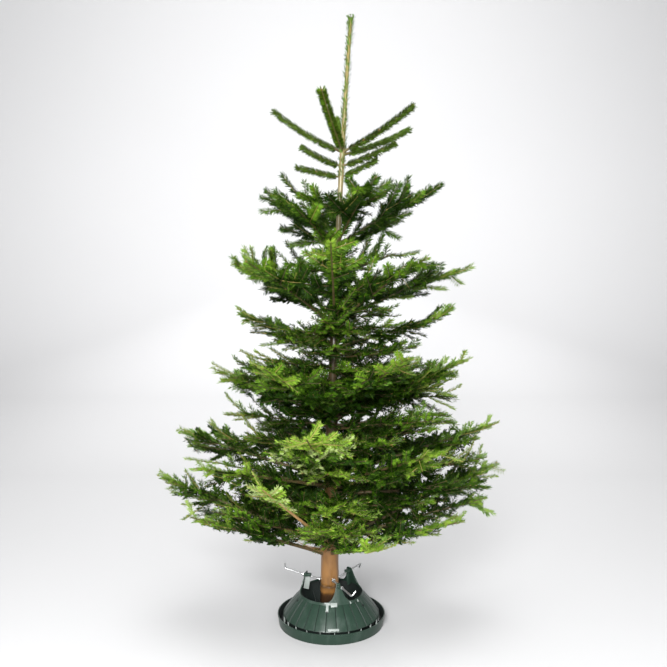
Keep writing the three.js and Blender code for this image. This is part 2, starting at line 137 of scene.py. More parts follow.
# %% [markdown]
# ## The boughs
# A fir makes one whorl of boughs a year, with a few weaker ones between. Each bough is a row:
# azimuth in degrees, reach and rise in millimetres, curl, and how far it leaves the trunk above
# or below its whorl. Curl is the share of the rise that comes late, so it turns the bough up.
# The weak boughs between the whorls are straight, and their rows leave the curl out.
#
# A form says how the boughs of a whorl branch: the length of one year, the chance of a shoot
# between two years, the size of the shoots on the crest and of those that hang, how far side
# shoots lift, their length as a share of the bough beyond them, and the bare share of the wood.
# Then it gives the needles' length, how far round the shoot they stand in degrees, how many
# grow on a metre, and how much lighter than usual their green is.

# %% Whorl table
FORM_KEYS = ("year", "between", "crest", "hang", "lift", "share", "wood", "needle", "parted",
             "dense", "tone")
FORM_ROWS = [
    (0, 0.0, 0.0, 0.0, 0.0, 0.0, 0.0, 24, 150, 4600, 0.0),
    (112, 0.2, 0.2, 0.0, 0.0, 0.72, 0.1, 25, 142, 2900, -0.22),
    (82, 0.5, 0.15, 0.0, 0.0, 0.72, 0.1, 23, 130, 1950, -0.10),
    (66, 0.3, 0.0, 0.45, -0.2, 0.55, 0.1, 21, 118, 1600, -0.20),
    (62, 0.6, 0.2, 0.25, -0.05, 0.7, 0.06, 19, 115, 1450, 0.09),
    (58, 0.6, 0.15, 0.4, -0.11, 0.7, 0.06, 18, 112, 1350, 0.05),
    (66, 0.6, 0.25, 0.35, -0.08, 0.7, 0.1, 20, 112, 860, -0.24),
]
SLIM, PLUME, UPPER, NARROW, MIDDLE, WIDE, WEAK = (dict(zip(FORM_KEYS, row)) for row in FORM_ROWS)
WHORLS = [
    ("crown", 1663, SLIM, [
        (178, 241, 144, 0.35, 0), (-107, 236, 130, 0.2, 4), (98, 170, 168, 0.1, 3),
        (-20, 253, 133, 0.35, 0), (28, 282, 129, 0.3, -10)]),
    ("collar", 1612, SLIM, [
        (185, 139, 64, 0.35, 0), (-12, 187, 70, 0.3, 0)]),
    ("ruff", 1573, SLIM, [
        (172, 158, 41, 0.1, 0), (10, 125, 66, 0.1, 0)]),
    ("plume", 1334, PLUME, [
        (183, 268, 165, -0.6, 0), (-122, 270, 130, -0.2, -35), (-66, 290, 170, -0.3, 6),
        (-4, 330, 181, -0.1, 0), (42, 300, 150, -0.2, -30), (108, 310, 175, -0.2, 0)]),
    ("upper", 1057, UPPER, [
        (176, 366, 210, -0.2, 0), (-135, 390, 200, -0.2, -14), (-92, 370, 225, -0.2, 8),
        (-42, 390, 205, -0.2, -6), (0, 440, 180, -0.2, 4), (62, 410, 200, -0.2, -4),
        (120, 400, 210, -0.2, 6)]),
    ("between", 978, NARROW, [
        (166, 358, 112, 0, 0), (-12, 400, 120, 0, -12), (84, 360, 110, 0, -4)]),
    ("middle", 710, MIDDLE, [
        (182, 422, 187, -0.1, 0), (-118, 430, 215, -0.2, -10), (-58, 430, 225, -0.2, 8),
        (-2, 474, 213, -0.1, 0), (62, 450, 180, -0.2, -10), (122, 450, 190, -0.2, 8)]),
    ("wide", 500, WIDE, [
        (176, 553, 170, 0, 0), (-145, 505, 120, 0, -22), (-98, 480, 210, 0, 10),
        (-44, 490, 170, 0, -12), (2, 577, 184, 0, 8), (60, 530, 140, 0, -8),
        (120, 530, 140, 0, 6)]),
    ("low", 262, WIDE, [
        (184, 598, 256, 0, 6), (-156, 500, 190, 0, -26), (-114, 480, 300, 0, 10),
        (-70, 440, 145, 0, -20), (-31, 490, 165, 0, -4), (0, 590, 285, 0, 14),
        (55, 550, 190, 0, -10), (122, 550, 190, 0, 4)]),
]
WEAK_BOUGHS = [
    (1450, [(200, 150, 40, 0), (-40, 160, 30, 0), (90, 150, 40, 10)]),
    (1230, [(160, 200, 40, 0), (-100, 170, 60, 20), (-20, 200, 60, 0), (80, 200, 60, 10)]),
    (1120, [
        (-60, 190, 60, 0), (30, 200, 60, 0), (-82, 170, 20, -35), (-20, 200, 10, -30),
        (15, 190, 10, -45)]),
    (1010, [
        (175, 250, 10, 0), (-95, 160, 30, 0), (186, 200, 30, -20), (160, 230, 10, -25),
        (205, 220, 10, -25)]),
    (1040, [
        (-10, 230, 0, 0), (8, 210, -10, -10), (-100, 210, 20, 0), (-65, 180, -20, 0),
        (-125, 150, 0, -20)]),
    (900, [
        (190, 230, 20, 0), (-70, 220, 20, -20), (-20, 240, 10, 0), (60, 230, 40, 0),
        (130, 220, 40, -20)]),
    (940, [(-12, 290, 30, 0), (-40, 270, 30, -10), (-88, 180, 25, 10), (-112, 170, 15, 0)]),
    (820, [
        (170, 240, 30, 0), (-110, 230, 60, 0), (-50, 220, 40, 20), (10, 250, 30, 0),
        (90, 230, 40, 0)]),
    (850, [(176, 340, 60, 0), (-160, 320, 50, 0), (2, 350, 60, 0)]),
    (800, [(-8, 380, 30, 0), (4, 430, 10, -15), (178, 360, 60, 10)]),
    (690, [(-14, 400, 60, 0), (-36, 400, 60, -10), (182, 330, 50, 0)]),
    (640, [(-8, 420, 80, 0), (-30, 400, 80, -10), (184, 390, 40, -30)]),
    (520, [(-92, 280, 60, 0), (-74, 260, 40, 0), (-108, 280, 50, 10)]),
    (290, [(-95, 260, 95, 0), (-76, 280, 105, 0), (-114, 240, 90, 0), (-58, 260, 90, 0)]),
    (610, [
        (200, 300, 60, 0), (-80, 260, 70, 0), (-55, 330, 60, 0), (40, 300, 60, 10),
        (110, 300, 60, 0), (150, 320, 70, 0)]),
    (470, [(186, 400, 100, 0), (-6, 540, 120, 0), (-16, 540, 60, -20)]),
    (400, [
        (200, 340, 80, 0), (-130, 330, 90, 0), (-24, 380, 60, 0), (30, 360, 80, 0),
        (90, 360, 80, 0), (150, 380, 80, 0)]),
    (430, [(-92, 330, 30, 0), (-76, 300, 20, 10)]),
    (370, [(-98, 300, 30, 0), (-80, 280, 20, -10), (-60, 260, 40, 10), (-125, 240, 50, 10)]),
    (285, [(-12, 540, 180, 0), (210, 430, 160, 0), (25, 460, 170, 0), (178, 500, 160, 0)]),
]
BARE_LIMBS = {"low_3": 0.72}
BARE_WHORL = "low"
BARE_SHARE = 0.24
SLENDERNESS = 65
BOUGH_TAPER = 0.8
STEM_TIP_RADIUS = 1.6


# %% Bough curves
class Bough:
    """One bough: a curve from the trunk's axis to its tip, with its radius along it."""

    def __init__(self, whorl, number, height, form, row):
        azimuth, reach, rise, curl, offset = row
        self.name = f"{whorl}_{number}"
        self.whorl = whorl
        self.form = form
        self.root = trunk_axis(height + offset)
        self.out, self.side = level_ways(azimuth)
        self.reach, self.rise, self.curl = reach, rise, curl
        self.length = math.hypot(reach, rise)
        self.root_radius = self.length / SLENDERNESS
        self.bare = BARE_SHARE if whorl == BARE_WHORL else form["wood"]
        self.bare = BARE_LIMBS.get(self.name, self.bare)

    def at(self, t):
        t = np.asarray(t, float)[..., None]
        climb = self.rise * ((1 - self.curl) * t + self.curl * t * t)
        return self.root + self.out * self.reach * t + UP * climb

    def radius(self, t):
        share = np.clip(t, 0, 1) ** BOUGH_TAPER
        return self.root_radius + (STEM_TIP_RADIUS - self.root_radius) * share


TIERS = WHORLS + [
    ("weak", height, WEAK, [(azimuth, reach, rise, 0, offset) for azimuth, reach, rise, offset in rows])
    for height, rows in WEAK_BOUGHS
]
boughs = [
    Bough(whorl, number, height, form, row)
    for whorl, height, form, rows in TIERS
    for number, row in enumerate(rows, 1)
]
print(len(boughs), "boughs in", len(WHORLS), "whorls and between them")

# %% [markdown]
# ## Room for each bough
# Shoots of neighbouring boughs don't grow through each other: each keeps to the light on its
# own side. A point belongs to the bough whose curve is nearest, so every spray can test
# whether it would leave its own room. The lowest sprays also keep clear of the stand, and
# they end higher towards the front and towards both sides.

# %% Nearest bough
CURVE_STEPS = 12
curve_points = np.stack([bough.at(np.linspace(0, 1, CURVE_STEPS + 1)) for bough in boughs])
seg_from = curve_points[:, :-1]
seg_way = curve_points[:, 1:] - seg_from
seg_square = (seg_way ** 2).sum(-1)
ROOM_OVERLAP = 40
TRUNK_CLEARANCE = 2
SKIRT_HEIGHT = 238
SKIRT_LIFT = 0.33
SIDE_LIFT = 0.31
SIDE_FROM = 130
REACH_SPARE = 14
reach_low = np.array(cad_box[0]) / MM - REACH_SPARE
reach_high = np.array(cad_box[1]) / MM + REACH_SPARE


def has_room(point, own):
    """Whether a point is nearer to its own bough than to any other, and off the trunk."""
    if (point < reach_low).any() or (point > reach_high).any():
        return False
    away = point - seg_from
    along = np.clip((away * seg_way).sum(-1) / seg_square, 0, 1)
    gaps = np.linalg.norm(away - seg_way * along[..., None], axis=-1).min(axis=1)
    if gaps[own] > gaps.min() + ROOM_OVERLAP:
        return False
    lift = SKIRT_LIFT * max(0.0, -point[1]) + SIDE_LIFT * max(0.0, abs(point[0]) - SIDE_FROM)
    if point[2] < SKIRT_HEIGHT + lift:
        return False
    axis = trunk_axis(point[2])
    off = math.hypot(point[0] - axis[0], point[1] - axis[1])
    return off > float(trunk_radius(point[2])) + TRUNK_CLEARANCE


print("room test ready for", len(boughs), "boughs")

# %% [markdown]
# ## Growing shoots
# Every summer a shoot grows on from its bud, and side buds below it start a pair of side
# shoots. So the nodes of a shoot lie a year's growth apart, counted back from its tip, and the
# further back a node is, the longer its side shoots have had to grow. The rule is applied to
# its own results until the side shoots are one summer's growth.

# %% Growth rule
FORK_ANGLE = 52
FORK_SPREAD = 6
ROLL_SPREAD = 0.28
SHORTEST = 38
SIDE_BASE = 14
LAST_NODE = 0.86
HANGING_UNTIL = 0.66
FADE = 0.12
CUT_BACK = (1.0, 0.8, 0.6)
YEAR_SPREAD = (0.9, 1.1)
BESIDE_NODE = 0.45
ONE_SUMMER = 4
rng = np.random.default_rng(7)


def unit(vector):
    return vector / np.linalg.norm(vector)


def fork(along, across, side, rise):
    """The direction of a side shoot, and the sideways direction of its own spray."""
    angle = math.radians(FORK_ANGLE + rng.normal(0, FORK_SPREAD))
    up = np.cross(along, across)
    way = unit(along * math.cos(angle) + across * side * math.sin(angle) + up * rise)
    new_across = across * math.cos(angle) - along * side * math.sin(angle)
    roll = rng.normal(0, ROLL_SPREAD)
    new_across = new_across * math.cos(roll) + up * math.sin(roll)
    new_across = new_across - way * new_across.dot(way)
    return way, unit(new_across)


def grow(shoots, own, root, along, across, length, order, outer, spray):
    """Adds a shoot and, at each year's node, the side shoots that it carries."""
    for share in CUT_BACK:
        tip = root + along * length * share
        middle = root + along * length * share * 0.55
        if has_room(tip, own) and has_room(middle, own):
            break
    else:
        return
    length *= share
    if length < SHORTEST:
        return
    form = boughs[own].form
    year = form["year"]
    spray = len(shoots) if order == 1 else spray
    shoots.append((own, root, along, across, length, order, outer, spray))
    left = year * rng.uniform(*YEAR_SPREAD)
    while left < length * LAST_NODE and order < ONE_SUMMER:
        node = root + along * (length - left)
        if order < ONE_SUMMER - 1 and rng.uniform() < form["between"] and left > 1.3 * year:
            way, new_across = fork(along, across, rng.choice((-1, 1)), rng.normal(0.0, 0.3))
            grow(shoots, own, node + along * year * BESIDE_NODE, way, new_across,
                 rng.uniform(0.75, 1.1) * year, ONE_SUMMER, outer - 0.1, spray)
        side_length = left * form["share"] + SIDE_BASE
        fade = outer - FADE * left / year
        for side in (1, -1):
            way, new_across = fork(along, across, side, rng.normal(form["lift"], 0.14))
            grow(shoots, own, node, way, new_across, side_length * rng.uniform(0.8, 1.15),
                 order + 1, fade, spray)
        left += year * rng.uniform(*YEAR_SPREAD)


# %% Shoots of every bough
def grow_bough(shoots, own):
    """Side shoots of one bough, from its newest year inwards, with some on its crest and below."""
    bough = boughs[own]
    year = bough.form["year"]
    left = year * 0.95
    while year and left < bough.length * (1 - bough.bare):
        t = 1 - left / bough.length
        node = bough.at(t)
        along = unit(bough.at(t + 0.02) - bough.at(t - 0.02))
        side_length = left * bough.form["share"] + SIDE_BASE
        fade = 1 - FADE * (left / year - 1)
        for side in (1, -1):
            way, across = fork(along, bough.side, side, rng.normal(bough.form["lift"], 0.17))
            grow(shoots, own, node, way, across, side_length * rng.uniform(0.85, 1.15), 1, fade, 0)
        for side in (1, -1):
            if rng.uniform() < bough.form["between"]:
                way, across = fork(along, bough.side, side, rng.normal(0.0, 0.4))
                grow(shoots, own, bough.at(t + year * 0.5 / bough.length), way, across,
                     rng.uniform(0.75, 1.25) * year, ONE_SUMMER, fade - 0.05, 0)
        for rise, share in ((0.55, bough.form["crest"]), (-0.55, bough.form["hang"])):
            if share and (rise > 0 or t < HANGING_UNTIL):
                way, across = fork(along, bough.side, rng.choice((-0.5, 0.5)),
                                   rise * rng.uniform(0.6, 1.2))
                grow(shoots, own, node, way, across, side_length * share + 25, 1, fade - 0.1, 0)
        left += year * rng.uniform(0.92, 1.08)


shoots = []
for own in range(len(boughs)):
    grow_bough(shoots, own)
print(len(shoots), "shoots by the rule")

# %% [markdown]
# ## Outermost shoots
# The rule gives a fair tree, but every real one has its own outline. This list adds the shoots
# that stand out at its edge, by their tips in millimetres. Each grows from the nearest bough,
# from the point where it needs the least turn for about a year's length.

# %% Outermost shoots
OUTER_TIPS = [
    (-176, -70, 1554), (-234, -40, 1505), (-65, -120, 1498), (-247, 10, 1448), (-170, 30, 1380),
    (210, -60, 1542), (76, -130, 1509), (270, -50, 1559), (217, -90, 1508), (351, -20, 1524),
    (282, 20, 1432), (241, 40, 1356), (176, -100, 1472), (-106, -110, 1484), (-283, -40, 1317),
    (-312, -60, 1283), (-163, -20, 1337), (-217, -80, 1302), (300, -60, 1287), (372, -20, 1249),
    (453, 0, 1241), (403, 40, 1165), (290, 60, 1148), (210, 20, 1096), (-101, -200, 1251),
    (44, -240, 1246), (145, -200, 1251), (211, -150, 1236), (-277, -30, 1017), (-239, -60, 972),
    (-107, -90, 980), (-338, 0, 1095), (393, 0, 1102), (325, -30, 1007), (258, -60, 979),
    (183, -90, 980), (-315, -60, 948), (-398, 40, 840), (-384, -20, 792), (-426, 0, 897),
    (496, 0, 921), (442, -40, 864), (468, 20, 817), (428, -60, 793), (371, -90, 809),
    (-260, -90, 939), (-303, 30, 927), (-353, -60, 737), (-441, 20, 692), (-310, -100, 739),
    (439, 40, 743), (403, -60, 703), (-536, 0, 680), (-426, -60, 706), (-510, 40, 599),
    (-508, -30, 576), (570, 0, 680), (514, -60, 658), (555, 40, 606), (531, -30, 569),
    (595, 0, 538), (475, -80, 613), (-611, 0, 517), (-512, -60, 537), (-575, 40, 436),
    (-521, -20, 405), (-509, -60, 371), (-354, -120, 355), (-430, -90, 370), (-283, -150, 327),
    (584, 0, 496), (532, -40, 439), (565, -20, 384), (446, -90, 366), (527, 30, 399),
    (354, -130, 334), (264, -180, 314), (-250, -60, 1308), (-197, -80, 1306), (-136, -90, 1312),
    (186, -40, 1359), (170, -20, 1322), (134, -60, 1346), (-212, -60, 962), (-160, -70, 958),
    (-108, -80, 960), (-56, -90, 966), (342, -80, 888), (394, -60, 858), (375, -80, 829),
    (320, -100, 820), (416, -40, 893), (-366, -60, 726), (-330, -60, 716), (-300, -80, 700),
    (-300, -60, 640), (-330, -60, 590), (-350, -80, 480), (-372, -80, 455), (-400, -80, 430),
    (455, -60, 640), (430, -60, 600)]
TIP_SHOOT = 105.0
SIDE_OF_TIP = 75
TURN_COST = 70
MAIN_BOUGHS = sum(bough.whorl != "weak" for bough in boughs)


def add_outer_shoot(tip):
    """One shoot that ends at a given tip, with a side pair if it is long. Counts as 1 if it grew."""
    tip = np.array(tip, float)
    best = None
    for own, bough in enumerate(boughs):
        for t in np.linspace(0.3, 0.97, 24):
            node = bough.at(t)
            way = tip - node
            length = float(np.linalg.norm(way))
            along = unit(bough.at(t + 0.02) - bough.at(t - 0.02))
            cost = abs(length - TIP_SHOOT) + TURN_COST * (1 - float(along.dot(way)) / length)
            if best is None or cost < best[0]:
                best = (cost, own, node, way, length, along)
    _, carrier, node, way, length, along = best
    own = min(range(MAIN_BOUGHS), key=lambda number: np.linalg.norm(
        boughs[number].at(np.linspace(0.3, 1, 8)) - node, axis=1).min())
    if length > 2.2 * TIP_SHOOT or length < SHORTEST:
        return 0
    way = unit(way)
    across = boughs[carrier].side - way * float(boughs[carrier].side.dot(way))
    across = unit(across) if np.linalg.norm(across) > 0.2 else unit(np.cross(way, UP))
    shoots.append((own, node, way, across, length, 1, 1.0, len(shoots)))
    if length > 1.3 * TIP_SHOOT:
        for side in (1, -1):
            branch, spread = fork(way, across, side, 0.0)
            start = node + way * (length - SIDE_OF_TIP - 5)
            grow(shoots, own, start, branch, spread, SIDE_OF_TIP, 2, 0.95, len(shoots))
    return 1


print(sum(add_outer_shoot(tip) for tip in OUTER_TIPS), "outermost shoots")
total = sum(shoot[4] for shoot in shoots)
print(len(shoots), "side shoots,", round(total * MM, 1), "m in all")

# %% [markdown]
# ## One mesh from many copies
# Tubes and needles both start as arrays of corner positions. A small helper turns such arrays
# into one Blender mesh, with a material number for each face, and puts it in the scene at the
# true size. Everything on the tree that is repeated thousands of times goes through it.

# %% Mesh helper
def place_mesh(name, mesh):
    piece = bpy.data.objects.new(name, mesh)
    bpy.context.scene.collection.objects.link(piece)
    return piece


def place_bmesh(bm, name, materials):
    mesh = bpy.data.meshes.new(name)
    bm.to_mesh(mesh)
    bm.free()
    for material in materials:
        mesh.materials.append(material)
    return place_mesh(name, mesh)


def mesh_piece(name, corners, faces, materials, material_of=None, smooth=True):
    """One object from corner rows in millimetres and face rows of equal length."""
    mesh = bpy.data.meshes.new(name)
    corners = np.ascontiguousarray(corners, np.float32) * MM
    faces = np.ascontiguousarray(faces, np.int32)
    sides = faces.shape[1]
    mesh.vertices.add(len(corners))
    mesh.vertices.foreach_set("co", corners.ravel())
    mesh.loops.add(faces.size)
    mesh.loops.foreach_set("vertex_index", faces.ravel())
    mesh.polygons.add(len(faces))
    mesh.polygons.foreach_set("loop_start", np.arange(0, faces.size, sides, dtype=np.int32))
    if material_of is not None:
        mesh.polygons.foreach_set("material_index", np.asarray(material_of, np.int32))
    mesh.polygons.foreach_set("use_smooth", np.full(len(faces), smooth))
    for material in materials:
        mesh.materials.append(material)
    mesh.update(calc_edges=True)
    mesh.validate()
    piece = place_mesh(name, mesh)
    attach(piece, "root")
    return piece


def hashed(values):
    """A repeatable number from 0 to 1 for each whole number."""
    mixed = np.sin(np.asarray(values, float) * 12.9898 + 4.1) * 43758.5453
    return mixed - np.floor(mixed)


def units(vectors):
    """Many vectors, each at length one."""
    return vectors / np.linalg.norm(vectors, axis=-1, keepdims=True)


def square_to(vectors, ways):
    """The part of each vector that is square to its way, at length one."""
    return units(vectors - ways * (vectors * ways).sum(-1, keepdims=True))


def extrude(bm, edges):
    """Extrudes edges on the spot and gives the new vertices and the new edges."""
    grown = bmesh.ops.extrude_edge_only(bm, edges=edges)["geom"]
    verts = [item for item in grown if isinstance(item, bmesh.types.BMVert)]
    return verts, [item for item in grown if isinstance(item, bmesh.types.BMEdge)]


print("mesh helpers ready")

# %% [markdown]
# ## Bark
# The same bark grain shows on the trunk and on the boughs, at different sizes: short level
# marks, and fine streaks that run along the wood. So it is one node group, which gives a mask
# for colour and a height for the bump. The trunk adds its change of colour with height, from
# orange-brown old bark to the olive skin of the leader. Below the bark's end and inside the
# crown its colour is also darkened: painted shade of the well and of the boughs, over a darker
# middle bark.

# %% Shared bark grain
def node_group(name, inputs, outputs):
    group = bpy.data.node_groups.new(name, "ShaderNodeTree")
    for label, kind, value in inputs:
        socket = group.interface.new_socket(label, in_out="INPUT", socket_type=kind)
        if value is not None:
            socket.default_value = value
    for label, kind in outputs:
        group.interface.new_socket(label, in_out="OUTPUT", socket_type=kind)
    return group, group.nodes.new("NodeGroupInput"), group.nodes.new("NodeGroupOutput")


def feed(tree, node, inputs):
    """Sets each input of a node to its value, or links it where a socket is given."""
    for label, given in inputs.items():
        if isinstance(given, bpy.types.NodeSocket):
            tree.links.new(given, node.inputs[label])
        else:
            node.inputs[label].default_value = given


def add_node(tree, kind, inputs, **settings):
    node = tree.nodes.new("ShaderNode" + kind)
    for setting, value in settings.items():
        setattr(node, setting, value)
    feed(tree, node, inputs)
    return node


def object_place(tree):
    return add_node(tree, "TexCoord", {}).outputs["Object"]


def bark_grain():
    group, given, result = node_group(
        "bark_grain",
        [("Coordinates", "NodeSocketVector", None), ("Scale", "NodeSocketFloat", 60.0),
         ("Stretch", "NodeSocketVector", (1.0, 1.0, 0.25))],
        [("Tone", "NodeSocketFloat"), ("Height", "NodeSocketFloat")])
    place, scale = given.outputs["Coordinates"], given.outputs["Scale"]
    stretched = add_node(group, "VectorMath", {0: place, 1: given.outputs["Stretch"]},
                         operation="MULTIPLY").outputs[0]
    streaks = add_node(group, "TexNoise", {
        "Vector": stretched, "Scale": scale, "Detail": 5.0, "Roughness": 0.6}).outputs["Fac"]
    coarser = add_node(group, "Math", {0: scale, 1: 0.35}, operation="MULTIPLY").outputs[0]
    marks = add_node(group, "TexNoise", {
        "Vector": place, "Scale": coarser, "Detail": 2.0}).outputs["Fac"]
    mixed = add_node(group, "Mix", {"Factor": 0.45, "A": streaks, "B": marks}).outputs["Result"]
    spread = add_node(group, "MapRange", {"Value": mixed, "From Min": 0.3, "From Max": 0.7})
    feed(group, result, {"Tone": spread.outputs["Result"], "Height": mixed})
    return group


BARK_GRAIN = bark_grain()


def new_material(name):
    material = bpy.data.materials.new(name)
    material.use_nodes = True
    tree = material.node_tree
    return material, tree, tree.nodes["Principled BSDF"]


def ramp(tree, source, stops):
    """The colour that a number from 0 to 1 stands for on a scale of colours."""
    node = add_node(tree, "ValToRGB", {"Fac": source})
    elements = node.color_ramp.elements
    while len(elements) < len(stops):
        elements.new(0.5)
    for element, (place, colour) in zip(elements, stops):
        element.position = place
        element.color = (*colour, 1.0)
    return node.outputs["Color"]


def mix_colours(tree, factor, first, second, blend="MIX"):
    return add_node(tree, "Mix", {"Factor": factor, "A": first, "B": second},
                    data_type="RGBA", blend_type=blend).outputs["Result"]


def relief_of(tree, height, strength, distance):
    return add_node(tree, "Bump", {
        "Height": height, "Strength": strength, "Distance": distance}).outputs["Normal"]


print("bark grain group has", len(BARK_GRAIN.nodes), "nodes")


# %% Bark materials
def bark_material(name, scale, depth, stops, span, gloss, uneven):
    """Bark whose ground colour follows height over a span in metres, darkened by its grain."""
    material, tree, shader = new_material(name)
    place = object_place(tree)
    grain = add_node(tree, "Group", {"Coordinates": place, "Scale": scale}, node_tree=BARK_GRAIN)
    tone = grain.outputs["Tone"]
    level = add_node(tree, "SeparateXYZ", {0: place}).outputs["Z"]
    height = add_node(tree, "MapRange", {
        "Value": level, "From Min": span[0], "From Max": span[1]}).outputs["Result"]
    jagged = add_node(tree, "Math", {0: tone, 1: uneven, 2: height}, operation="MULTIPLY_ADD")
    ground = ramp(tree, jagged.outputs[0], stops)
    shade = ramp(tree, tone, [
        (0.0, (0.5, 0.46, 0.44)), (0.55, (1.0, 1.0, 1.0)), (1.0, (1.25, 1.2, 1.1))])
    feed(tree, shader, {
        "Base Color": mix_colours(tree, 1.0, ground, shade, "MULTIPLY"),
        "Normal": relief_of(tree, grain.outputs["Height"], 0.6, depth),
        "Roughness": gloss, "Specular IOR Level": 0.4})
    return material


# Painted shade: the stops below 0.05 of the span make the foot under the bark's end near black for the
# shade in the well, and those from 0.3 to 0.52 darken the trunk inside the crown for the boughs' shade,
# over its darker middle bark.
trunk_bark = bark_material("trunk_bark", 55.0, 0.0012, [
    (0.0, (0.020, 0.010, 0.005)), (0.049, (0.026, 0.013, 0.006)), (0.0515, (0.05, 0.024, 0.009)),
    (0.0535, (0.155, 0.073, 0.021)), (0.0605, (0.145, 0.07, 0.020)), (0.0625, (0.06, 0.03, 0.010)),
    (0.0645, (0.175, 0.085, 0.024)), (0.12, (0.165, 0.08, 0.024)), (0.3, (0.06, 0.04, 0.018)),
    (0.52, (0.05, 0.037, 0.018)), (0.63, (0.15, 0.125, 0.065)), (0.8, (0.22, 0.18, 0.075)),
    (1.0, (0.20, 0.16, 0.05))], (0.0, 2.15), 0.30, 0.004)
bough_bark = bark_material("bough_bark", 90.0, 0.0006, [
    (0.0, (0.34, 0.20, 0.08)), (0.15, (0.33, 0.20, 0.08)), (0.4, (0.12, 0.078, 0.030)),
    (0.7, (0.10, 0.07, 0.024)), (1.0, (0.15, 0.12, 0.04))], (0.2, 1.9), 0.6, 0.02)
# Painted shade: the boughs under the foliage get this near-black bark for the shade of the crown over
# them; the bare limb and the bare twigs keep the lighter bark.
shaded_bough_bark = bark_material("shaded_bough_bark", 90.0, 0.0006, [
    (0.0, (0.075, 0.05, 0.018)), (0.4, (0.06, 0.042, 0.015)), (0.7, (0.08, 0.06, 0.02)),
    (1.0, (0.13, 0.105, 0.035))], (0.2, 1.9), 0.6, 0.02)
print("bark:", trunk_bark.name, bough_bark.name, shaded_bough_bark.name)

# %% [markdown]
# ## The trunk
# A ring of edges is extruded again and again up the trunk's line, and each new ring is set to
# the radius there. Swellings where a whorl leaves, and small noise along the way, are added to
# that radius, so the outline itself is bark and not a smooth cone. The rings lie closer round
# the line where a saw nicked the bark and where it is peeled off below.

# %% Trunk mesh
TRUNK_SIDES = 40
RING_STEP = 7.0
FINE_STEP = 2.5
WHORL_HEIGHTS = [height for _, height, _, _ in WHORLS]
BARK_END = 108.0
BARK_THICKNESS = 1.6
SAW_LINE = 134.0
FOOT_SWELL = 3.2


def trunk_relief(angle, height):
    """The trunk's radius with its whorls, lumps, saw nick, peeled foot and stout leader."""
    swell = sum(math.exp(-((height - level) / 26) ** 2) for level in WHORL_HEIGHTS)
    radius = float(trunk_radius(height))
    place = Vector((math.cos(angle) * 2.2, math.sin(angle) * 2.2, height * 0.012))
    lumps = noise.fractal(place, 1.0, 2.0, 3)
    fine = noise.noise(Vector((math.cos(angle) * 9, math.sin(angle) * 9, height * 0.05)))
    sawn = -1.3 * math.exp(-((height - SAW_LINE - 2 * math.sin(5 * angle)) / 2.4) ** 2)
    peeled = -BARK_THICKNESS if height < BARK_END + 3 * math.sin(3 * angle) else 0.0
    leader = 2.2 * min(max((height - 1350) / 300, 0.0), 1.0)
    foot = FOOT_SWELL * max(0.0, 1 - height / 450)
    grown = radius * (1 + 0.09 * swell + 0.035 * lumps) + 0.35 * fine + leader + foot
    return min(grown + sawn + peeled, radius * 1.16 + 1.2 + leader + foot)


def build_trunk():
    bm = bmesh.new()
    rim = bmesh.ops.create_circle(bm, cap_ends=True, segments=TRUNK_SIDES, radius=FOOT_RADIUS)["verts"]
    ring = [edge for edge in bm.edges if edge.is_boundary]
    heights = np.concatenate([np.arange(FOOT, 95, RING_STEP), np.arange(95, 150, FINE_STEP),
                              np.arange(150, TOP - 14, RING_STEP), [TOP - 9]])
    centre = 0.0
    for number, height in enumerate(map(float, heights)):
        if number:
            rim, ring = extrude(bm, ring)
        axis = trunk_axis(height)
        for vert in rim:
            angle = math.atan2(vert.co.y, vert.co.x - centre)
            reach = trunk_relief(angle, height)
            vert.co = (axis[0] + reach * math.cos(angle), reach * math.sin(angle), height)
        centre = axis[0]
    bmesh.ops.contextual_create(bm, geom=ring)
    bmesh.ops.recalc_face_normals(bm, faces=bm.faces)
    bmesh.ops.scale(bm, vec=(MM, MM, MM), verts=bm.verts)
    for face in bm.faces:
        face.smooth = len(face.verts) == 4
    return place_bmesh(bm, "trunk_wood", [trunk_bark])


trunk = build_trunk()
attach(trunk, "root")
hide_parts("trunk")
print("trunk:", len(trunk.data.polygons), "faces")

# %% [markdown]
# ## Boughs and twigs
# A limb is a tube whose rings follow a curve. All rings of all limbs are worked out at once as
# arrays. The boughs are thick enough for relief of their own; the twigs are only a few
# millimetres, so three or four sides are plenty.

# %% Tube arrays
CURVE_NUDGE = 1e-3


def tube_rings(centres, tangents, reference, radii, sides, relief=0.0):
    """Corners and faces of tubes: centres and tangents are (tubes, rings, 3)."""
    count, rings, _ = centres.shape
    side = square_to(reference[:, None, :], tangents)
    normal = np.cross(side, tangents)
    angle = np.arange(sides) * 2 * math.pi / sides
    reach = np.repeat(radii[:, :, None], sides, axis=2)
    if relief:
        key = np.arange(reach.size).reshape(reach.shape)
        reach = reach * (1 + relief * (hashed(key) - 0.5))
    corners = (centres[:, :, None, :]
               + side[:, :, None, :] * (np.cos(angle)[None, None, :] * reach)[..., None]
               + normal[:, :, None, :] * (np.sin(angle)[None, None, :] * reach)[..., None])
    first = (np.arange(count) * rings * sides)[:, None, None]
    row = (np.arange(rings - 1) * sides)[None, :, None]
    here = np.arange(sides)[None, None, :]
    after = (here + 1) % sides
    lower = first + row
    faces = np.stack([lower + here, lower + here + sides, lower + after + sides, lower + after], axis=-1)
    return corners.reshape(-1, 3), faces.reshape(-1, 4)


def tubes_from(rows, sides, relief):
    """Tubes from rows of centres, tangents, the direction sideways and radii."""
    return tube_rings(*map(np.array, zip(*rows)), sides, relief)


def curve_rings(at, start, end, rings):
    t = np.linspace(start, end, rings)
    centres = at(t)
    tangents = at(t + CURVE_NUDGE) - at(t - CURVE_NUDGE)
    return t, centres, units(tangents)


# %% Boughs
BOUGH_SIDES = 8
BOUGH_RINGS = 34


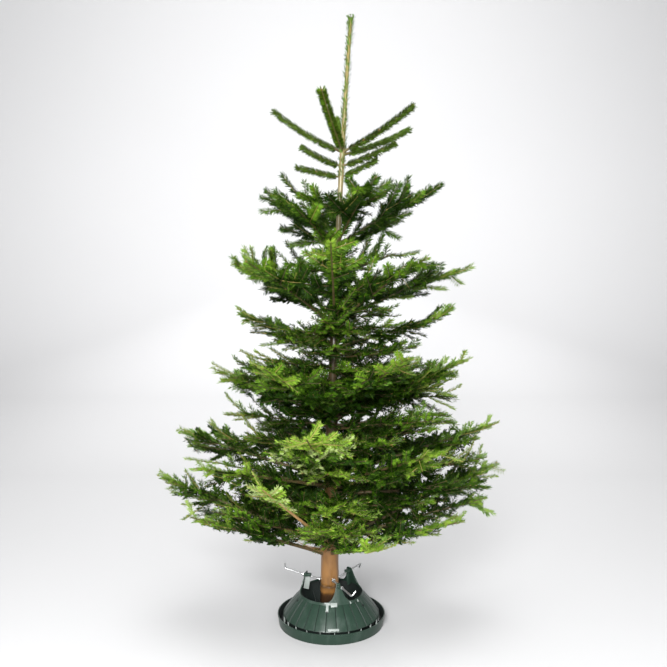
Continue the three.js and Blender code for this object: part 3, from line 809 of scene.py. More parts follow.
def build_boughs():
    rows = []
    for bough in boughs:
        root = float(trunk_radius(bough.root[2])) * 0.7 / bough.reach
        t, centre, tangent = curve_rings(bough.at, root, 0.985, BOUGH_RINGS)
        collar = 0.55 * np.exp(-((t - root) * bough.length / 18) ** 2)
        wobble = np.sin(t * 23 + bough.root_radius * 9) * 0.05 * bough.root_radius
        centre = centre + bough.side * wobble[:, None]
        rows.append((centre, tangent, bough.side, bough.radius(t) * (1 + collar)))
    return tubes_from(rows, BOUGH_SIDES, relief=0.09)


corners, faces = build_boughs()
# Painted shade: every bough but the bare limb takes the shaded bark.
shaded = np.array([bough.name not in BARE_LIMBS for bough in boughs]).astype(int)
shaded = np.repeat(shaded, len(faces) // len(boughs))
limbs = mesh_piece("boughs", corners, faces, [bough_bark, shaded_bough_bark], shaded)
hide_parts(*[f"bough_{bough.name}" for bough in boughs if bough.whorl == BARE_WHORL])
print("boughs:", len(faces), "faces")


# %% [markdown]
# ## Bare twigs
# Short leafless twigs stand round the foot of the crown, where the lowest shoots have died
# off. Each is a row of azimuth, height of its root, length and rise.

# %% Bare twigs at the foot
BARE_TWIGS = [
    (188, 268, 190, 70), (203, 258, 170, 40), (172, 276, 200, 90), (216, 250, 150, 66),
    (160, 262, 160, 50), (232, 262, 130, 40), (-8, 262, 150, 52), (-24, 250, 120, 55),
    (12, 272, 170, 60), (-52, 246, 110, 55), (-118, 252, 130, 40), (35, 258, 150, 40),
    (-82, 262, 120, 55), (140, 250, 140, 30)]
BARE_RINGS = 12
BARE_SIDES = 5


def build_bare_twigs():
    t = np.linspace(0.12, 1, BARE_RINGS)
    rows = []
    for azimuth, height, length, rise in BARE_TWIGS:
        out, side = level_ways(azimuth)
        sway = rng.uniform(-14, 14)
        centre = trunk_axis(height) + out * (length * t)[:, None] + side * (sway * t * t)[:, None]
        centre = centre + UP * (rise * t ** 1.6)[:, None]
        rows.append((centre, units(np.gradient(centre, axis=0)), side, 2.6 - 1.9 * t))
    return tubes_from(rows, BARE_SIDES, relief=0.12)


corners, faces = build_bare_twigs()
bare_twigs = mesh_piece("bare_twigs", corners, faces, [bough_bark])
print("bare twigs:", len(BARE_TWIGS))

# %% [markdown]
# ## Shoots in space
# A shoot isn't quite straight: its tip turns up to the light. So each one is a gentle curve,
# root plus direction plus a bend along its own upward side, which grows with the square of the
# distance from the root. The bough ends are shoots too and carry needles like the others. The
# low boughs that face the key light in front are dealt a lighter green, which is painted light.

# %% Shoot arrays
UPTURN = 0.14
LIT_FRONT_TONE = 0.16
LIT_FRONT_BELOW = 800
END_SHOOTS = 4


def add_bough_ends():
    """The needle-clad outer part of each bough, as short shoots laid end to end."""
    for own, bough in enumerate(boughs):
        start = max(0.08, bough.bare * 0.9)
        marks = np.linspace(start, 1.0, END_SHOOTS + 1)
        for first, last in zip(marks[:-1], marks[1:]):
            root, tip = bough.at(first), bough.at(last)
            along = unit(tip - root)
            length = float(np.linalg.norm(tip - root))
            outer = 1.0 if last == 1.0 else 0.8
            shoots.append((own, root, along, bough.side, length, 0, outer, len(shoots)))


add_bough_ends()
(shoot_bough, shoot_root, shoot_along, shoot_across, shoot_length, shoot_order, shoot_outer,
 shoot_spray) = (np.array(column) for column in zip(*shoots))


def form_values(key):
    return np.array([boughs[own].form[key] for own in shoot_bough])


# Painted light: low shoots on boughs that face the key light in front get a lighter green.
lit_front = np.array([max(0.0, -boughs[own].out[1]) for own in shoot_bough])
shoot_tone = form_values("tone") + LIT_FRONT_TONE * lit_front * (shoot_root[:, 2] < LIT_FRONT_BELOW)
shoot_needle = form_values("needle")
shoot_parted = np.radians(form_values("parted"))
shoot_dense = form_values("dense")
shoot_up = np.cross(shoot_along, shoot_across)
flip = np.sign(shoot_up[:, 2])
flip[flip == 0] = 1
shoot_up *= flip[:, None]
shoot_bend = np.where(shoot_order == 0, 0.0, UPTURN * rng.uniform(0.2, 1.4, len(shoots)))
print(len(shoots), "shoots,", round(shoot_length.sum() * MM, 1), "m")


def shoot_point(index, share):
    """Points and tangents along shoots, at shares 0 to 1 of their length."""
    share = share[..., None]
    length = shoot_length[index][..., None]
    bend = shoot_bend[index][..., None]
    up = shoot_up[index]
    along = shoot_along[index]
    point = shoot_root[index] + (along * share + up * bend * share * share) * length
    tangent = along + up * 2 * bend * share
    return point, units(tangent)


# %% Twigs
TWIG_SIDES = 4
TWIG_RINGS = 4
OLD_LENGTH = 120
OLD_INSIDE = 0.72


def speckled_material(name, dark, light, scale, gloss):
    """A plain ground with a fine change of tone, for wood and buds too small for bark."""
    material, tree, shader = new_material(name)
    specks = add_node(tree, "TexNoise", {"Vector": object_place(tree), "Scale": scale, "Detail": 3.0})
    tone = ramp(tree, specks.outputs["Fac"], [(0.35, dark), (0.65, light)])
    feed(tree, shader, {"Base Color": tone, "Roughness": gloss})
    return material


wood_young = speckled_material(
    "young_wood", (0.17, 0.14, 0.032), (0.30, 0.235, 0.055), 240.0, 0.6)
wood_old = speckled_material(
    "old_twig_wood", (0.035, 0.026, 0.008), (0.075, 0.052, 0.016), 200.0, 0.7)


def build_twigs():
    chosen = np.flatnonzero(shoot_order > 0)
    share = np.linspace(0, 0.985, TWIG_RINGS)[None, :].repeat(len(chosen), 0)
    index = chosen[:, None].repeat(TWIG_RINGS, 1)
    centres, tangents = shoot_point(index, share)
    thick = 0.95 + shoot_length[chosen] * 0.0085
    radii = thick[:, None] * (1 - 0.5 * share)
    corners, faces = tube_rings(centres, tangents, shoot_across[chosen], radii, TWIG_SIDES)
    weak = shoot_dense[chosen] == WEAK["dense"]
    old = (shoot_length[chosen] > OLD_LENGTH) | (shoot_outer[chosen] < OLD_INSIDE) | weak
    return corners, faces, np.repeat(old.astype(int), (TWIG_RINGS - 1) * TWIG_SIDES)


corners, faces, ages = build_twigs()
twigs = mesh_piece("twigs", corners, faces, [wood_young, wood_old], ages)
print("twigs:", len(faces) * 2, "triangles")

# %% [markdown]
# ## Needle greens
# A fir needle is waxy and dark above, with two pale bands beneath. Its green changes along the
# tree: old inner needles are nearly black-green, last summer's outer ones are fresher, and the
# thin crown is darker. The nearly black inner green is partly painted shade, for the dark inside
# of the crown, and the brightest greens of outer shoots are partly painted light, where the
# lamps fall on them. Each shoot is dealt one of a few plain greens, and the same material
# shows a paler tint wherever the underside of the needle faces out.

# %% Needle materials
def needle_material(name, above, below, gloss):
    material, tree, shader = new_material(name)
    turned = add_node(tree, "NewGeometry", {}).outputs["Backfacing"]
    tint = mix_colours(tree, turned, (*above, 1.0), (*below, 1.0))
    feed(tree, shader, {"Base Color": tint, "Roughness": gloss, "Specular IOR Level": 0.06})
    return material


GREENS = [
    # Painted shade and light: the near-black inner green partly stands for the shade inside the crown,
    # and the bright green partly for light on the outer tips.
    needle_material("needles_inner", (0.007, 0.022, 0.001), (0.014, 0.034, 0.003), 0.5),
    needle_material("needles_dark", (0.028, 0.067, 0.003), (0.040, 0.084, 0.008), 0.50),
    needle_material("needles_mid", (0.070, 0.145, 0.010), (0.095, 0.175, 0.030), 0.42),
    needle_material("needles_fresh", (0.128, 0.220, 0.018), (0.158, 0.245, 0.045), 0.45),
    needle_material("needles_bright", (0.170, 0.255, 0.036), (0.20, 0.28, 0.07), 0.45),
    needle_material("needles_crown", (0.036, 0.064, 0.004), (0.05, 0.085, 0.010), 0.45),
    needle_material("needles_pale", (0.250, 0.320, 0.110), (0.30, 0.36, 0.16), 0.5),
]
INNER, DARK, MID, FRESH, BRIGHT, CROWN, PALE = range(len(GREENS))
print(len(GREENS), "needle greens")

# %% [markdown]
# ## Needles
# Needles stand off a shoot like a brush parted along its top, with none straight below. One
# needle is a kite of two triangles folded along its rib, so it has an upper and a lower side
# and catches the light on one half at a time. Side needles leave at a wider angle than top
# ones. Inner needles are wider than life, because fewer of them have to close the crown.
#
# A score deals the greens: how far out the shoot stands, its form's tone and some chance.

# %% Needle arrays
NEEDLE_WIDTH = 2.8
INNER_WIDTH = 5.2
CROWN_WIDTH = 3.7
PARTING = math.radians(16)
YOUNG_LENGTH = 62.0
TOP_LEAN = 38
SIDE_LEAN = 20
TIP_CLOSING = 0.15
NEEDLE_FOLD = 0.5


def frame_on(index, share):
    """Points on shoots, with the direction, the side and the upper side there."""
    point, tangent = shoot_point(index, share)
    side = square_to(shoot_across[index], tangent)
    upper = np.cross(tangent, side)
    upper *= np.sign((upper * shoot_up[index]).sum(-1, keepdims=True))
    return point, tangent, side, upper


def needle_kites(point, tangent, side, upper, around, lean, length, width):
    """Four corners for each needle from its place, its angle round the shoot and its lean."""
    radial = upper * np.cos(around)[:, None] + side * np.sin(around)[:, None]
    way = tangent * np.cos(lean)[:, None] + radial * np.sin(lean)[:, None]
    face = upper * 0.55 + radial * 0.7 - tangent * 0.25 + rng.normal(0, 0.3, radial.shape)
    face = square_to(face, way)
    across = np.cross(way, face)
    base = point + radial * 0.5
    middle = base + way * (length * 0.5)[:, None]
    half = across * (width / 2)[:, None]
    raised = face * NEEDLE_FOLD
    tip = base + way * length[:, None]
    return np.stack([base, middle - half + raised, tip, middle + half + raised], axis=1)


def kite_faces(amount):
    """Two triangles for each kite."""
    start = np.arange(amount) * 4
    return np.stack([start, start + 1, start + 2, start, start + 2, start + 3], axis=1).reshape(-1, 3)


PALE_SPOTS = [(-75, -290, 565, 85), (115, -290, 570, 110), (-250, -330, 520, 100)]
spray_root = shoot_root[np.clip(shoot_spray, 0, len(shoots) - 1)]
in_pale_spot = np.zeros(len(shoots), bool)
for *centre, size in PALE_SPOTS:
    in_pale_spot |= np.linalg.norm(spray_root - np.array(centre, float), axis=1) < size
# Painted shade and light: low scores give the near-black inner green and high scores the bright greens,
# partly as shade and light.
GREEN_SCORES = [0.60, 0.78, 0.94, 1.17]
INSIDE = 0.6
OLD_CHANCE = 0.2
YOUNG_CHANCE = 0.18


def spray_colours(chosen):
    """One green for each shoot: outer ones fresh and partly painted light, inner ones dark and partly
    painted shade, with some chance.
    """
    chance = hashed(shoot_spray[chosen] + 0.37) - 0.5
    score = shoot_outer[chosen] + shoot_tone[chosen] + chance * 0.24
    score = score + (hashed(chosen + 0.73) - 0.5) * 0.3
    colour = np.digitize(score, GREEN_SCORES)
    colour[in_pale_spot[chosen] & (hashed(shoot_spray[chosen] + 0.11) < 0.5)] = PALE
    return colour


def build_needles(chosen, crown):
    """Needles of the chosen shoots: corners, faces and the number of each face's green."""
    counts = np.maximum(8, shoot_length[chosen] * shoot_dense[chosen] * MM).astype(int)
    index = np.repeat(chosen, counts)
    first = np.repeat(np.cumsum(counts) - counts, counts)
    amount = len(index)
    share = (np.arange(amount) - first + rng.uniform(0, 1, amount)) / np.repeat(counts, counts)
    share = 0.02 + 0.97 * share
    point, tangent, side, upper = frame_on(index, share)
    spread = rng.uniform(-1, 1, amount)
    around = PARTING + (shoot_parted[index] - PARTING) * np.abs(spread) ** 0.9
    around *= np.sign(spread)
    sideways = np.minimum(np.abs(around), 1.6) / 1.6
    lean = np.radians(TOP_LEAN + SIDE_LEAN * sideways + rng.normal(0, 6, amount))
    lean *= 1 - TIP_CLOSING * np.clip((share - 0.92) / 0.08, 0, 1)
    length = shoot_needle[index] * rng.uniform(0.8, 1.15, amount)
    length *= 1 - 0.22 * np.cos(around / 2) ** 4
    width = np.where(shoot_outer[index] < INSIDE, INNER_WIDTH, NEEDLE_WIDTH)
    width = np.full(amount, CROWN_WIDTH) if crown else width
    width = width * rng.uniform(0.85, 1.1, amount)
    corners = needle_kites(point, tangent, side, upper, around, lean, length, width)
    colour = np.full(len(chosen), CROWN) if crown else spray_colours(chosen)
    colour = np.repeat(colour, counts)
    odd = rng.uniform(0, 1, amount)
    if crown:
        colour = np.where(odd < 0.2, MID, np.where(odd > 0.93, FRESH, colour))
    else:
        pale = colour == PALE
        age = (1 - share) * shoot_length[index] / YOUNG_LENGTH
        older = (age > 1).astype(int) + (age > 2.4)
        younger = (odd > 1 - YOUNG_CHANCE).astype(int)
        shifted = np.clip(colour + younger - (odd < OLD_CHANCE) - older, INNER, BRIGHT)
        colour = np.where(pale, np.where(odd < 0.3, FRESH, PALE), shifted)
    return corners.reshape(-1, 3), kite_faces(amount), np.repeat(colour, 2)


print("needle rule ready")


# %% Needle pieces
PIECE_LIMIT = 190_000
needle_faces = 0
for whorl, form in [(row[0], row[2]) for row in WHORLS] + [("weak", WEAK)]:
    own = [number for number, bough in enumerate(boughs) if bough.whorl == whorl]
    chosen = np.flatnonzero(np.isin(shoot_bough, own))
    estimate = shoot_length[chosen].sum() * form["dense"] * MM * 2
    parts = int(estimate // PIECE_LIMIT) + 1
    groups = np.array_split(np.array(own), parts)
    for number, group in enumerate(groups, 1):
        members = np.flatnonzero(np.isin(shoot_bough, group))
        corners, faces, colour = build_needles(members, form is SLIM)
        piece = mesh_piece(f"sprays_{whorl}_{number}", corners, faces, GREENS, colour)
        if whorl != "weak":
            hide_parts(*[f"needles_{boughs[owner].name}" for owner in group])
        needle_faces += len(faces)
    print(whorl, round(shoot_length[chosen].sum() * MM, 1), "m of needled shoots")
print("needles:", needle_faces // 2, "in", needle_faces, "triangles")

# %% [markdown]
# ## The leader and the buds
# The leader is last summer's growth of the trunk itself. It carries few needles, short and
# pressed upwards, and ends in a crown of buds. Every other shoot ends in a small brown bud
# too. A bud has four sides and narrows at both ends, which is enough for its size.

# %% Leader needles
LEADER_FOOT = 1570
LEADER_NEEDLES = 820
TIP_NEEDLES = 60
LEADER_HALF_WIDTH = 1.7


def build_leader_needles():
    height = rng.uniform(LEADER_FOOT, TOP - 4, LEADER_NEEDLES)
    height[-TIP_NEEDLES:] = rng.uniform(TOP - 40, TOP - 12, TIP_NEEDLES)
    around = rng.uniform(0, math.tau, LEADER_NEEDLES)
    radial = np.stack([np.cos(around), np.sin(around), np.zeros(LEADER_NEEDLES)], axis=1)
    surface = trunk_axis(height) + radial * (trunk_radius(height) + 2)[:, None]
    lean = np.radians(rng.normal(42, 12, LEADER_NEEDLES))
    way = radial * np.sin(lean)[:, None] + UP * np.cos(lean)[:, None]
    across = units(np.cross(way, radial))
    length = rng.uniform(12, 19, LEADER_NEEDLES)
    middle = surface + way * (length * 0.5)[:, None] + radial * 0.4
    half = across * LEADER_HALF_WIDTH
    tip = surface + way * length[:, None]
    tip[:, 2] = np.minimum(tip[:, 2], TOP - 2)
    corners = np.stack([surface, middle - half, tip, middle + half], axis=1)
    colour = np.where(rng.uniform(0, 1, LEADER_NEEDLES) < 0.6, MID, CROWN)
    return corners.reshape(-1, 3), kite_faces(LEADER_NEEDLES), np.repeat(colour, 2)


corners, faces, colour = build_leader_needles()
leader = mesh_piece("leader_needles", corners, faces, GREENS, colour)
print("leader:", len(faces) // 2, "needles")


# %% Buds
BUD_SIDES = 4
CROWN_BUD = 2.7
BUDS_FROM = 0.45
LEADER_BUD = 2.2
LEADER_BUDS = 6
bud_brown = speckled_material("bud_brown", (0.13, 0.075, 0.018), (0.25, 0.17, 0.045), 900.0, 0.45)
bud_green = speckled_material("bud_green", (0.12, 0.13, 0.025), (0.20, 0.23, 0.05), 900.0, 0.45)


def build_buds():
    tips = np.flatnonzero(shoot_outer > BUDS_FROM)
    point, tangent, side, _ = frame_on(tips, np.ones(len(tips)))
    size = np.where(shoot_order[tips] == 0, 1.5, 1.0) * rng.uniform(0.85, 1.15, len(tips))
    crown_tip = np.array([boughs[owner].form is SLIM for owner in shoot_bough[tips]])
    size = np.where(crown_tip, CROWN_BUD, size)
    places, ways, sizes = [], [], []
    for along, sideways, scale in ((0.0, 0.0, 1.0), (-1.5, 2.2, 0.75), (-1.5, -2.2, 0.75)):
        keep = np.full(len(tips), True) if sideways == 0 else size > 1.3
        places.append((point + tangent * along + side * sideways * size[:, None])[keep])
        ways.append((tangent + side * sideways * 0.2)[keep])
        sizes.append(size[keep] * scale)
    places, ways, sizes = np.concatenate(places), np.concatenate(ways), np.concatenate(sizes)
    top = trunk_axis(TOP - 12)
    for number in range(LEADER_BUDS + 1):
        middle = number == LEADER_BUDS
        angle = number * math.tau / LEADER_BUDS
        off = np.array([math.cos(angle), math.sin(angle), 0.0]) * (0 if middle else 5.5)
        places = np.vstack([places, top + off - UP * (1 if middle else 6)])
        ways = np.vstack([ways, UP + off * 0.06])
        sizes = np.append(sizes, LEADER_BUD)
    ways = units(ways)
    reference = units(np.cross(ways, np.array([0.3, 0.5, 0.8])))
    along = np.array([-1.2, 1.2, 4.2])
    girth = np.array([0.3, 1.55, 0.1])
    centres = places[:, None, :] + ways[:, None, :] * (along * sizes[:, None])[..., None]
    tangents = np.repeat(ways[:, None, :], 3, axis=1)
    corners, faces = tube_rings(centres, tangents, reference, girth * sizes[:, None], BUD_SIDES)
    green = (hashed(np.arange(len(places))) > 0.55).astype(int)
    return corners, faces, np.repeat(green, 2 * BUD_SIDES)


corners, faces, green = build_buds()
buds = mesh_piece("buds", corners, faces, [bud_brown, bud_green], green)
print("buds:", len(faces) // (2 * BUD_SIDES))

# %% [markdown]
# ## Moulded plastic
# The stand is green polypropylene, satin all over, with the faint orange-peel that a mould
# leaves and pale scuffs where it has been dragged about. The scuffs and the peel are one node
# group, placed in the green of the stand, in the darker plastic and in the pale plastic. The
# darker plastic is partly the well's own dark plastic and partly painted shade in the funnel's
# grooves, the gap at its foot, the tray's inside and the slots; the pale plastic is partly
# painted highlight and reflection.

# %% Shared plastic wear
def plastic_wear():
    group, given, result = node_group(
        "plastic_wear",
        [("Coordinates", "NodeSocketVector", None), ("Amount", "NodeSocketFloat", 0.5)],
        [("Wear", "NodeSocketFloat"), ("Height", "NodeSocketFloat")])
    place = given.outputs["Coordinates"]
    peel = add_node(group, "TexNoise", {"Vector": place, "Scale": 420.0, "Detail": 2.0})
    squeezed = add_node(group, "VectorMath", {0: place, 1: (1.0, 1.0, 0.3)}, operation="MULTIPLY")
    scuffs = add_node(group, "TexNoise", {
        "Vector": squeezed.outputs[0], "Scale": 38.0, "Detail": 6.0, "Roughness": 0.7})
    picked = add_node(group, "MapRange", {
        "Value": scuffs.outputs["Fac"], "From Min": 0.52, "From Max": 0.78})
    scaled = add_node(group, "Math", {0: picked.outputs["Result"], 1: given.outputs["Amount"]},
                      operation="MULTIPLY")
    feed(group, result, {"Wear": scaled.outputs[0], "Height": peel.outputs["Fac"]})
    return group


PLASTIC_WEAR = plastic_wear()


def plastic_material(name, colour, worn, wear, gloss):
    material, tree, shader = new_material(name)
    effect = add_node(tree, "Group", {"Coordinates": object_place(tree), "Amount": wear},
                      node_tree=PLASTIC_WEAR)
    worn_part = effect.outputs["Wear"]
    roughness = add_node(tree, "MapRange", {"Value": worn_part, "To Min": gloss, "To Max": gloss + 0.25})
    feed(tree, shader, {
        "Base Color": mix_colours(tree, worn_part, (*colour, 1.0), (*worn, 1.0)),
        "Roughness": roughness.outputs["Result"],
        "Normal": relief_of(tree, effect.outputs["Height"], 0.12, 0.0004),
        "Specular IOR Level": 0.28})
    return material


green_plastic = plastic_material(
    "green_plastic", (0.015, 0.032, 0.022), (0.06, 0.085, 0.072), 0.45, 0.34)
# Painted shade: this near-black plastic is partly the well's own dark plastic, and partly shade laid on
# the funnel's grooves, the gap at its foot, the tray's inside and the slots.
dark_plastic_and_shade = plastic_material(
    "dark_plastic_and_shade", (0.005, 0.008, 0.007), (0.015, 0.022, 0.019), 0.4, 0.5)
# Painted highlight: the pale plastic is partly the pale clip and stops, and partly highlights and a
# reflection laid on the lip, the foot, the rim and the left ear's web.
pale_plastic_and_highlight = plastic_material(
    "pale_plastic_and_highlight", (0.22, 0.245, 0.23), (0.33, 0.36, 0.34), 0.5, 0.4)
print("plastics:", green_plastic.name, dark_plastic_and_shade.name, pale_plastic_and_highlight.name)

# %% [markdown]
# ## Turned pieces
# The tray and the well are round, so each is drawn as half a profile and spun a full turn.
# The first and the last copy of the profile are merged, and so are the points on the axis,
# which closes the pole.

# %% Spin helper
MERGE = 0.01


def finish_bmesh(bm, name, materials, replaced, smooth_angle=32):
    """Turns a bmesh in millimetres into a piece of the stand."""
    bmesh.ops.remove_doubles(bm, verts=bm.verts, dist=MERGE)
    bmesh.ops.recalc_face_normals(bm, faces=bm.faces)
    bmesh.ops.scale(bm, vec=(MM, MM, MM), verts=bm.verts)
    limit = math.radians(smooth_angle)
    for edge in bm.edges:
        edge.smooth = edge.is_manifold and edge.calc_face_angle(0.0) < limit
    for face in bm.faces:
        face.smooth = True
    piece = place_bmesh(bm, name, materials)
    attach(piece, "root")
    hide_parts(*replaced)
    return piece


def spin_profile(profile, steps):
    bm = bmesh.new()
    verts = [bm.verts.new((radius, 0, height)) for radius, height in profile]
    edges = [bm.edges.new(pair) for pair in zip(verts[:-1], verts[1:])]
    bmesh.ops.spin(bm, geom=verts + edges, cent=(0, 0, 0), axis=(0, 0, 1),
                   angle=math.tau, steps=steps, use_merge=True)
    bmesh.ops.remove_doubles(bm, verts=bm.verts, dist=MERGE)
    return bm


def soften(bm, edges, width, steps=2):
    """Rounds edges off with a narrow bevel."""
    bmesh.ops.bevel(bm, geom=edges, offset=width, affect="EDGES", segments=steps, profile=0.5,
                    material=-1)


def edges_of(verts):
    return list({edge for vert in verts for edge in vert.link_edges})


def facing_out(azimuth, radius, height, lean):
    """The place of a block round the stand's axis, turned outwards and leaned along its radius."""
    angle = math.radians(azimuth)
    turn = Matrix.Rotation(angle, 4, "Z") @ Matrix.Rotation(lean, 4, "Y")
    return Matrix.Translation((radius * math.cos(angle), radius * math.sin(angle), height)) @ turn


# %% Tray
tray_high = Vector(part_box("stand_tray")[1]) / MM
TRAY_RIM = tray_high.x
TRAY_HEIGHT = tray_high.z
TRAY_RADIUS = TRAY_RIM - 4
TRAY_PROFILE = [
    (0, 3.2), (TRAY_RADIUS - 24, 3.2), (TRAY_RADIUS - 22, 1.2), (TRAY_RADIUS - 12, 0),
    (TRAY_RADIUS - 3, 0), (TRAY_RADIUS - 0.6, 0.7), (TRAY_RADIUS + 0.3, 2.8),
    (TRAY_RIM - 0.6, TRAY_HEIGHT - 5), (TRAY_RIM + 0.8, TRAY_HEIGHT - 4.2),
    (TRAY_RIM + 1.4, TRAY_HEIGHT - 2.2), (TRAY_RIM + 1.0, TRAY_HEIGHT - 0.5),
    (TRAY_RIM, TRAY_HEIGHT), (TRAY_RIM - 1.6, TRAY_HEIGHT - 0.3),
    (TRAY_RIM - 2.6, TRAY_HEIGHT - 1.6), (TRAY_RADIUS - 2.6, 7), (TRAY_RADIUS - 4.5, 4.4),
    (TRAY_RADIUS - 7, 4.0), (0, 4.0)]
tray_bm = spin_profile(TRAY_PROFILE, 128)
# Painted shade: the tray's floor and inner wall get the near-black plastic for the shade that the funnel
# casts into them.
for face in tray_bm.faces:
    middle = face.calc_center_median()
    face.material_index = int(middle.z > 3.6 and math.hypot(middle.x, middle.y) < TRAY_RIM - 3.2)
finish_bmesh(tray_bm, "tray", [green_plastic, dark_plastic_and_shade], ["stand_tray"])
print("tray radius", round(TRAY_RIM, 1), "mm, height", round(TRAY_HEIGHT, 1), "mm")

# %% [markdown]
# ## The funnel
# The funnel's skin is 28 flat panels with a groove between each two. Inset with a depth makes
# both at once: every panel is drawn in a little and raised, and the strips left between them
# are the grooves. The grooves take the near-black plastic, which is painted shade. Level cuts
# then let the panels bulge slightly, as thin moulded walls do.

# %% Funnel skin
PANELS = 28
SKIN_FOOT = (171.0, 33.5)
SKIN_TOP = (115.0, 101.0)
GROOVE = 1.3
GROOVE_DEPTH = 1.5
LEVEL_CUTS = (38, 50, 66, 82, 92)
BULGE = 0.018


def skin_share(height):
    return (height - SKIN_FOOT[1]) / (SKIN_TOP[1] - SKIN_FOOT[1])


def skin_bulge(height):
    return 1 + BULGE * math.sin(math.pi * min(max(skin_share(height), 0), 1))


def funnel_skin():
    bm = spin_profile([(SKIN_FOOT[0] - GROOVE_DEPTH, SKIN_FOOT[1]),
                       (SKIN_TOP[0] - GROOVE_DEPTH, SKIN_TOP[1])], PANELS)
    turn = Matrix.Rotation(math.radians(180 / PANELS - 90), 3, "Z")
    bmesh.ops.rotate(bm, cent=(0, 0, 0), matrix=turn, verts=bm.verts)
    bmesh.ops.recalc_face_normals(bm, faces=bm.faces)
    panels = [face for face in bm.faces if face.normal.z > 0]
    if len(panels) < PANELS:
        bmesh.ops.reverse_faces(bm, faces=bm.faces)
        panels = list(bm.faces)
    strips = bmesh.ops.inset_individual(bm, faces=panels, thickness=GROOVE, depth=GROOVE_DEPTH)
    # Painted shade: the grooves between the panels get the near-black plastic for the shade in them.
    for face in strips["faces"]:
        face.material_index = 1
    outer_edges = [edge for face in panels for edge in face.edges]
    soften(bm, outer_edges, 0.5)
    for height in LEVEL_CUTS:
        everything = list(bm.verts) + list(bm.edges) + list(bm.faces)
        bmesh.ops.bisect_plane(bm, geom=everything, plane_co=(0, 0, height), plane_no=(0, 0, 1))
    for vert in bm.verts:
        bulge = skin_bulge(vert.co.z)
        vert.co.x *= bulge
        vert.co.y *= bulge
    return bm


skin = finish_bmesh(funnel_skin(), "funnel_skin", [green_plastic, dark_plastic_and_shade],
                    ["stand_funnel"], smooth_angle=20)
# Painted shade: the foot ring takes the near-black plastic for the shade in the gap between the funnel
# and the tray.
FOOT_RING = [
    (160, 4), (160.5, 33), (169.5, 33), (169.5, 34.5), (157, 34.5), (157, 4), (160, 4)]
finish_bmesh(spin_profile(FOOT_RING, 96), "funnel_foot", [dark_plastic_and_shade],
             ["stand_funnel"])
print("funnel skin:", len(skin.data.polygons), "faces")

# %% [markdown]
# ## Rim and ears
# The rim sweeps up in hollow curves into three ears, which carry the clamp screws. It is one
# band: a ring of edges extruded upwards, whose last row follows the rim's height at each
# angle. Above the rim the band leans inwards, and solidify gives it its wall.

# %% Rim and ears
EARS = [
    # name, azimuth, half width, screw azimuth, screw slope, reach outside, turn of the handle
    ("left", 165, 14.0, 165, 0.20, 80.0, 0.1),
    ("front", -75, 9.0, -70, 0.0, 88.0, 0.8),
    ("back", 45, 15.0, 45, 0.20, 60.0, 2.6)]
RIM_HEIGHT = 108.0
RIM_RADIUS = 108
EAR_RISE = 60.0
EAR_ROUND = 9.0
EAR_SWEEP = 54.0
EAR_LEAN = 0.3
BAND_STEPS = 252
BAND_ROWS = 12
BAND_WALL = 4.0


def rim_height(angle):
    """How high the rim stands at an angle: level, a little higher behind, and up into each ear."""
    height = RIM_HEIGHT + 5 * max(0.0, math.sin(angle)) ** 2
    for _, azimuth, half, *_ in EARS:
        apart = abs((angle - math.radians(azimuth) + math.pi) % math.tau - math.pi) * RIM_RADIUS
        if apart < half:
            rise = EAR_RISE - EAR_ROUND * (1 - (1 - (apart / half) ** 4) ** 0.25)
        else:
            rise = (EAR_RISE - EAR_ROUND) * max(0.0, 1 - (apart - half) / EAR_SWEEP) ** 4
        height = max(height, RIM_HEIGHT + rise)
    return height


def rim_band():
    bm = bmesh.new()
    bmesh.ops.create_circle(bm, segments=BAND_STEPS, radius=SKIN_TOP[0])
    bmesh.ops.translate(bm, vec=(0, 0, SKIN_TOP[1] - 1), verts=bm.verts)
    ring = list(bm.edges)
    slope = (SKIN_FOOT[0] - SKIN_TOP[0]) / (SKIN_TOP[1] - SKIN_FOOT[1])
    for row in range(1, BAND_ROWS + 1):
        rim, ring = extrude(bm, ring)
        for vert in rim:
            angle = math.atan2(vert.co.y, vert.co.x)
            height = SKIN_TOP[1] - 1 + (rim_height(angle) - SKIN_TOP[1] + 1) * row / BAND_ROWS
            above = max(0.0, height - RIM_HEIGHT)
            radius = SKIN_TOP[0] - (min(height, RIM_HEIGHT) - SKIN_TOP[1]) * slope * 0.6
            radius -= above * EAR_LEAN
            vert.co = (radius * math.cos(angle), radius * math.sin(angle), height)
    bmesh.ops.recalc_face_normals(bm, faces=bm.faces)
    bmesh.ops.solidify(bm, geom=list(bm.faces), thickness=BAND_WALL)
    soften(bm, [edge for edge in bm.edges if edge.is_manifold and edge.calc_face_angle(0.0) > 1.0],
           0.9)
    return bm


band = finish_bmesh(rim_band(), "rim_and_ears", [green_plastic],
                    ["stand_funnel"])
print("rim band:", len(band.data.polygons), "faces")

# %% [markdown]
# ## The well
# Inside the rim a darker cup narrows down to the floor that the trunk stands on; its darkness is
# partly its own plastic and partly painted shade. Spikes on that floor hold the cut end, and
# upright ribs stiffen the cup's wall. The well is open, so its inner wall shows all round the
# trunk.

